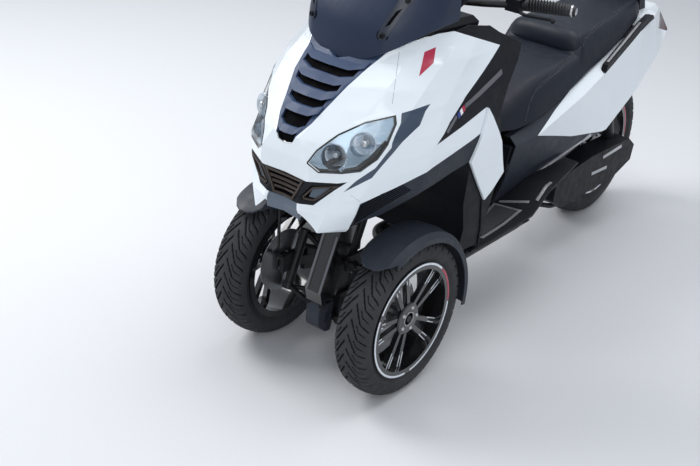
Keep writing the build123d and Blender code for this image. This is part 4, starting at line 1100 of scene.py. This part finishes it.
LAMP_OUTLINE = [(77, 743), (90, 778), (123, 821), (167, 854), (214, 870), (222, 848), (222, 798), (209, 758),
                (186, 727), (155, 725), (105, 719)]
# Dark parts inside the lamp seen from the front: lower edge and upper edge of each
LAMP_MASKS = [
    [[(90, 733), (104, 723), (152, 728)], [(90, 740), (104, 731), (150, 735)]],
    [[(158, 729), (184, 731), (206, 760), (218, 800)], [(154, 738), (176, 742), (194, 768), (211, 808)]],
]
# Middles of the bowls, their radius and the way they face
BOWLS = [(1012, 121, 762), (970, 179, 800)]
BOWL_R = 0.031
BOWL_AXIS = Vector((0.93, 0.33, 0.12)).normalized()
# Profile of a bowl in shares of its radius: radius and height, up the inside and down the outside
BOWL_RINGS = [(0.3, -0.62), (0.55, -0.5), (0.78, -0.28), (0.94, 0.0), (1.0, 0.02), (1.0, -0.05), (0.8, -0.36),
              (0.3, -0.7)]
FLUTES = 16
FLUTE_SIDES = 4
FLUTE_DEPTH = 0.035
HOOD = [(0.0085, -0.012), (0.0085, 0.004), (0.0065, 0.007), (0.003, 0.008)]


def fluted_bowl(middle, axis, radius):
    """Open bowl of flat flutes round a bulb, with a turned lip."""
    axis, aside, across = square_to(axis)
    vertices = []
    sides = FLUTES * FLUTE_SIDES
    for share, height in BOWL_RINGS:
        for step in range(sides):
            turn = math.tau * step / sides
            ripple = 1 + FLUTE_DEPTH * abs(math.sin(turn * FLUTES / 2)) * (share < 1)
            out = (aside * math.cos(turn) + across * math.sin(turn)) * share * ripple
            vertices.append(middle + (axis * height + out) * radius)
    return vertices, grid_faces(len(BOWL_RINGS), sides, around=True, closed=True)


def make_headlamps():
    """Dark border and mask, and fluted bowls with their bulb hoods behind the clear covers."""
    lens = tree_of("headlamp_lenses")
    border = ring_overlay(lens, "front", inset(LAMP_OUTLINE, 0.8), 3.5, 0.0009, sink=0.0005, rows=12)
    shapes_piece("lamp_borders", border, "gloss_black", width=0.0002)
    inside = tree_of("headlamp_bowls")
    masks = [overlay(inside, "front", *edges, sink=0.004, rows=14) for edges in LAMP_MASKS]
    shapes_piece("lamp_masks", masks, "gloss_black")
    middles = [at(*place) for place in BOWLS]
    bowls = [fluted_bowl(middle, BOWL_AXIS, BOWL_R) for middle in middles]
    hoods = [lathe(HOOD, middle, BOWL_AXIS, 20) for middle in middles]
    shapes_piece("lamp_reflectors", bowls, "bowl", width=0)
    shapes_piece("bulb_hoods", hoods, "steel", width=0.0005)


# Cover of the screen

COVER_LEVELS = [
    (940, [(878, 0), (866, 100), (814, 160), (735, 200), (645, 209)]),
    (1049, [(862, 0), (849, 112), (801, 166), (722, 204), (645, 211)]),
    (1158, [(812, 0), (799, 120), (755, 172), (682, 206), (645, 210)]),
]
COVER_LOW_Z = 964
COVER_LOW_BEND = 0.00245
COVER_MIDDLE_Z = 1010
COVER_ROWS = 36
COVER_COLUMNS = 121
COVER_T = 0.004


def cover_outline(z):
    """Smooth plan outline of the cover at a height, from side to side."""
    heights = [level[0] for level in COVER_LEVELS]
    levels = np.array([level[1] for level in COVER_LEVELS], float)
    half = smooth_values(heights, levels, np.array([z]))[0]
    points = np.concatenate([half[::-1] * (1, -1), half[1:]])
    run = run_of(points)
    return smooth_values(run / run[-1], points, np.linspace(0, 1, COVER_COLUMNS))


def make_cover():
    """The cover in one smooth sweep with a rounded lower edge; gives a search tree over its surface."""
    lower = COVER_LOW_Z + COVER_LOW_BEND * cover_outline(COVER_MIDDLE_Z)[:, 1] ** 2
    levels = {}
    vertices = []
    for share in np.linspace(0, 1, COVER_ROWS):
        for j, low in enumerate(lower):
            z = low + (COVER_LEVELS[-1][0] - low) * share
            key = round(z)
            if key not in levels:
                levels[key] = cover_outline(key)
            vertices.append(at(*levels[key][j], z))
    faces = grid_faces(COVER_ROWS, COVER_COLUMNS)
    piece = mesh_piece("smooth_cover", vertices, faces, "navy", "chassis")
    wall = piece.modifiers.new("wall", "SOLIDIFY")
    wall.thickness = COVER_T
    wall.offset = 1
    soften(piece, 0.0008)
    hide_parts("windscreen_cover")
    return BVHTree.FromPolygons(vertices, faces)


# Brackets, badges and mats

BRACKET_BOLTS = [(116, 1048), (146, 1137)]
BRACKET_INNER = [(105, 1050), (131, 1148)]
BRACKET_OUTER = [(128, 1047), (157, 1148)]
BRACKET_END_R = 0.0125
# Finish, spread beyond the outline and height of the painted shadow under and round the bracket, and of the
# bracket
BRACKET_LAYERS = {"bracket_painted_shadows": ("void", 3.5, 0.003), "screen_brackets": ("bracket", 0, 0.006)}
# Profile of a socket-head bolt in shares of its radius
BOLT_PROFILE = [(1, -0.7), (1, 0.49), (0.88, 0.7), (0.52, 0.7), (0.46, 0.21)]
BOLT_R = 0.0075
BOLT_LIFT = 0.007
# Edges of the near-black patch that is the painted shade of the recess in each bracket
RECESS_SHADE = [[(118, 1070), (131, 1110)], [(127, 1076), (141, 1118)]]
SEAL = [[(78, 985), (129, 1008), (156, 1023), (189, 1043), (205, 1060)],
        [(78, 991), (127, 1014), (153, 1029), (184, 1049), (199, 1064)]]
# Places in the photo: edges of the badge, and the seams of the hood with their width
BADGE = [[(436, 47), (433.5, 63)], [(424.5, 52), (419, 76.5)]]
HOOD_SEAMS = [[(399, 52), (396, 75), (392, 104)], [(350.5, 195), (355, 198), (360, 202)]]
HOOD_SEAM_W = 0.45
FLAG_PATCHES = {"red": (667, 676), "white_mark": (677, 686), "blue_mark": (687, 697)}
FLAG_TOP = (660, 863)
FLAG_SLOPE = -0.62
FLAG_LEAN = 6
FLAG_H = 15
# Ribs of the wing trims in the photo: from the fang's edge to where they run out, and their widths
WING_RIB_STARTS = [(359.5, 206.5), (353.5, 222.5)]
WING_RIB_ENDS = [(401, 183.5), (411, 189.5)]
WING_RIB_WIDTHS = (1.3, 0.6)
WING_RIBS = 7
MAT_OUTER = [(170, 126), (398, 172), (380, 226), (262, 229), (150, 222)]
MAT_FRAME_W = 9


def make_screen_trim(cover):
    """Brackets with the painted shadow round each, the painted shade of their recesses, their bolts, and the
    seal between cover and panels.
    """
    for name, (finish, spread, lift) in BRACKET_LAYERS.items():
        inner = [(y - spread, z) for y, z in BRACKET_INNER]
        outer = [(y + spread, z) for y, z in BRACKET_OUTER]
        shapes = [overlay(cover, "front", inner, outer, lift, sink=0.001, rows=24, columns=6)]
        point, normal = laid(cover, "front", BRACKET_BOLTS[:1])[0]
        radius = BRACKET_END_R + spread / 1000
        profile = [(radius, -0.001), (radius, lift), (radius * 0.6, lift + 0.0003)]
        shapes.append(lathe(profile, point, normal, 32))
        shapes_piece(name, shapes, finish, width=0.0006)
    # Flat near-black patch: painted shade of the recess in the bracket
    shapes_piece("bracket_recess_shades", [overlay(cover, "front", *RECESS_SHADE, 0.0068, rows=8)], "void")
    profile = [(BOLT_R * radius, BOLT_R * height) for radius, height in BOLT_PROFILE]
    bolts = [lathe(profile, point + normal * BOLT_LIFT, normal, 18)
             for point, normal in laid(cover, "front", BRACKET_BOLTS)]
    shapes_piece("bracket_bolts", bolts, "black")
    shapes_piece("cover_seals", [overlay(cover, "front", *SEAL, 0.003, rows=40, columns=3)], "soft_rubber")


def make_badges():
    """Plain colour patches, panel seams and the strips on the dark side panels."""
    nose = tree_of("nose_panel")
    badge = overlay(nose, "photo", *BADGE, 0.0004, sink=0.0006, rows=10, columns=5)
    shapes_piece("hood_badge", [badge], "red", both=False, width=0.0001)
    seams = [overlay(nose, "photo", line, [(a + HOOD_SEAM_W, b) for a, b in line], 0.0001, rows=16, columns=2)
             for line in HOOD_SEAMS]
    shapes_piece("hood_seams", seams, "seam", width=0.00005)
    make_strips("infill_strips", "infill_low_strips")
    infill = tree_of("side_infill_panels")
    for finish, ends in FLAG_PATCHES.items():
        top = [(x, FLAG_TOP[1] + FLAG_SLOPE * (x - FLAG_TOP[0])) for x in ends]
        under = [(x - FLAG_LEAN, z - FLAG_H) for x, z in top]
        patch = overlay(infill, "side", top, under, 0.001, rows=4, columns=3)
        shapes_piece(f"flag_{finish}", [patch], finish, width=0.0001)


def make_wing_ribs():
    """Slanting ribs on the front of the wing trims, near-black as painted shade between the ribs."""
    trims = tree_of("wing_trims")
    near, far = [(0, width) for width in WING_RIB_WIDTHS]
    ribs = [overlay(trims, "photo", [start, end], [start + near, end + far], 0.002, 0.0004, 0.001, columns=2)
            for start, end in zip(along(WING_RIB_STARTS, WING_RIBS), along(WING_RIB_ENDS, WING_RIBS))]
    # Raised ribs in the near-black finish: painted shade in the grooves between them
    shapes_piece("wing_ribs", ribs, "void", width=0.0002)


def make_mats():
    """Silver-framed rubber mats on the floor boards."""
    boards = tree_of("floor_boards")
    band = ring_overlay(boards, "top", MAT_OUTER, MAT_FRAME_W, 0.002)
    shapes_piece("mat_frames", band, "silver", width=0.0006)
    middle = inset(MAT_OUTER, MAT_FRAME_W + 1)
    mat = overlay(boards, "top", [middle[0], middle[4]], middle[1:3], 0.0015, rows=14, columns=20)
    shapes_piece("floor_mats", [mat], "ribbed_rubber")


# Front wall of the seat's box: height, half width and place of its front face
BOX_FRONT = [(338, 112, 172.5), (384, 128, 176), (430, 142, 179.5), (490, 154, 184), (556, 166, 189)]
BOX_FRONT_T = 22
BOX_FRONT_BEND = 6
BOX_FRONT_SHARES = (-1, -0.5, 0, 0.5, 1)


def make_box_front():
    """Wall that closes the seat's box between the cowls, behind the tunnel."""
    vertices = []
    for z, half, x in BOX_FRONT:
        vertices += [at(x - BOX_FRONT_BEND * share**4, half * share, z) for share in BOX_FRONT_SHARES]
        vertices += [at(x - BOX_FRONT_T, half * share, z) for share in reversed(BOX_FRONT_SHARES)]
    shape = (vertices, tube_faces(len(BOX_FRONT), 2 * len(BOX_FRONT_SHARES)))
    shapes_piece("box_front", [shape], "textured", both=False, width=0.001)


# Controls and instruments

# Places in the photo
CAP_DIMPLE = (322, 306)
LEVER_TIP = (552.5, 20)
DIMPLE = [(0.0125, -0.001), (0.0125, 0.0006), (0.0105, 0.0012), (0.009, 0.0006), (0.003, 0.0004)]
LEVER_BALL_R = 0.0068
LEVER_BALL_SHIFT = (0, 0.002, -0.004)
GRIP_INNER = (381, 252, 1081)
GRIP_OUTER = (336, 376, 1081)
GRIP_RIBS = 13
GRIP_RIB_START = 0.012
GRIP_RIB_STEP = 0.0083
GRIP_RIB = [(0.0165, -0.002), (0.0182, -0.0012), (0.0182, 0.0012), (0.0165, 0.002)]
GRIP_END = [(0.0165, -0.001), (0.0165, 0.004), (0.0115, 0.007), (0.0115, 0.013), (0.0085, 0.016)]
DIAL_PLACES = [(648, 48), (648, -48)]
DIAL_RING = [(0.0335, 0.0), (0.0335, 0.004), (0.031, 0.005), (0.029, 0.0025), (0.0285, 0.0015)]
DIAL_FACE = [(0.0295, 0.0016), (0.0285, 0.0028), (0.0282, 0.003), (0.001, 0.003)]


def make_cap_dimples():
    """Round caps on the column's cap."""
    point, normal = laid(tree_of("column_cap"), "photo", [CAP_DIMPLE])[0]
    shapes_piece("cap_dimples", [lathe(DIMPLE, point, normal, 32)], "black", width=0.0003)


def make_bar_details():
    """Ribbed grips with their end weights and the balls at the lever tips."""
    inner = at(*GRIP_INNER)
    outer = at(*GRIP_OUTER)
    axis = (outer - inner).normalized()
    ribs = [lathe(GRIP_RIB, inner + axis * (GRIP_RIB_START + number * GRIP_RIB_STEP), axis, 28)
            for number in range(GRIP_RIBS)]
    shapes_piece("grip_ribs", ribs, "soft_rubber", "steering", width=0)
    tip = laid(tree_of("bar_controls"), "photo", [LEVER_TIP])[0][0] + Vector(LEVER_BALL_SHIFT)
    half_circle = [(LEVER_BALL_R * math.sin(turn), -LEVER_BALL_R * math.cos(turn))
                   for turn in np.linspace(0.1, 3.04, 12)]
    shapes_piece("lever_balls", [lathe(half_circle, tip, axis, 20)], "black", "steering", width=0.0002)
    shapes_piece("grip_ends", [lathe(GRIP_END, outer, axis, 24)], "steel", "steering")


def make_dials():
    """Two ringed dials on the instrument face."""
    places = laid(tree_of("dashboard"), "top", DIAL_PLACES)
    for name, profile, finish, width in (("dial_rings", DIAL_RING, "steel", 0.0003),
                                         ("dial_faces", DIAL_FACE, "gloss_black", 0.0002)):
        shapes = [lathe(profile, point, normal, 40) for point, normal in places]
        shapes_piece(name, shapes, finish, both=False, width=width)


def make_pieces():
    """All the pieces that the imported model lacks."""
    make_seat()
    make_backrest()
    for name in WHEELS:
        make_tyre(name)
        make_wheel_trim(name)
    grille_backs = tree_of("grille_backs")
    make_louvre(grille_backs)
    make_grille(grille_backs)
    make_headlamps()
    make_screen_trim(make_cover())
    make_badges()
    make_wing_ribs()
    make_mats()
    make_strips("floor_ledges", "sill_strips")
    make_box_front()
    make_strips("case_accents", "cowl_strips", "rail_inlays", "lamp_strips", "column_strips", "column_lines")
    make_cap_dimples()
    make_bar_details()
    make_strips("mirror_glass", "instrument_face")
    make_dials()


# Stage

FLOOR_HALF = 14
FLOOR_COLOUR = (0.62, 0.63, 0.65)
FLOOR_DARKER = 0.97
FLOOR_ROUGHNESS = 0.85
SPECKLE_NOISE = (160, 4)
SKY_COLOUR = (0.86, 0.92, 1.0, 1)
SKY_STRENGTH = 0.55
# Place, size and power of each lamp, and the point all of them face
LAMPS = {
    "key": ((1.6, -3.2, 3.8), 2.6, 190),
    "fill": ((3.6, 3.0, 2.6), 3.0, 60),
    "top": ((-0.8, 0.6, 4.2), 3.2, 90),
}
LAMPS_AIM = Vector((0.1, 0, 0.6))


def make_floor():
    """Pale floor that goes on to the horizon."""
    mesh = bpy.data.meshes.new("floor")
    corners = [(-1, -1), (1, -1), (1, 1), (-1, 1)]
    mesh.from_pydata([(x * FLOOR_HALF, y * FLOOR_HALF, 0) for x, y in corners], [], [(0, 1, 2, 3)])
    floor = bpy.data.objects.new("floor", mesh)
    bpy.context.scene.collection.objects.link(floor)
    made, tree, shader = new_material("floor")
    speckle = noise(tree, coordinates(tree), *SPECKLE_NOISE)
    low = tuple(c * FLOOR_DARKER for c in FLOOR_COLOUR)
    tree.links.new(between(tree, speckle, low, FLOOR_COLOUR), shader.inputs["Base Color"])
    set_inputs(shader, {"Roughness": FLOOR_ROUGHNESS})
    mesh.materials.append(made)


def make_lights():
    """Soft lamps overhead and an even pale surround."""
    world = bpy.data.worlds.new("world")
    bpy.context.scene.world = world
    world.use_nodes = True
    set_inputs(world.node_tree.nodes["Background"], {"Color": SKY_COLOUR, "Strength": SKY_STRENGTH})
    for name, (place, size, power) in LAMPS.items():
        data = bpy.data.lights.new(name, "AREA")
        data.size = size
        data.energy = power
        lamp = bpy.data.objects.new(name, data)
        lamp.location = place
        lamp.rotation_mode = "QUATERNION"
        lamp.rotation_quaternion = (LAMPS_AIM - Vector(place)).to_track_quat("-Z", "Y")
        bpy.context.scene.collection.objects.link(lamp)


make_camera()
make_floor()
make_lights()
finish_nodes()
make_pieces()

view = bpy.context.scene.view_settings
view.view_transform = "Standard"
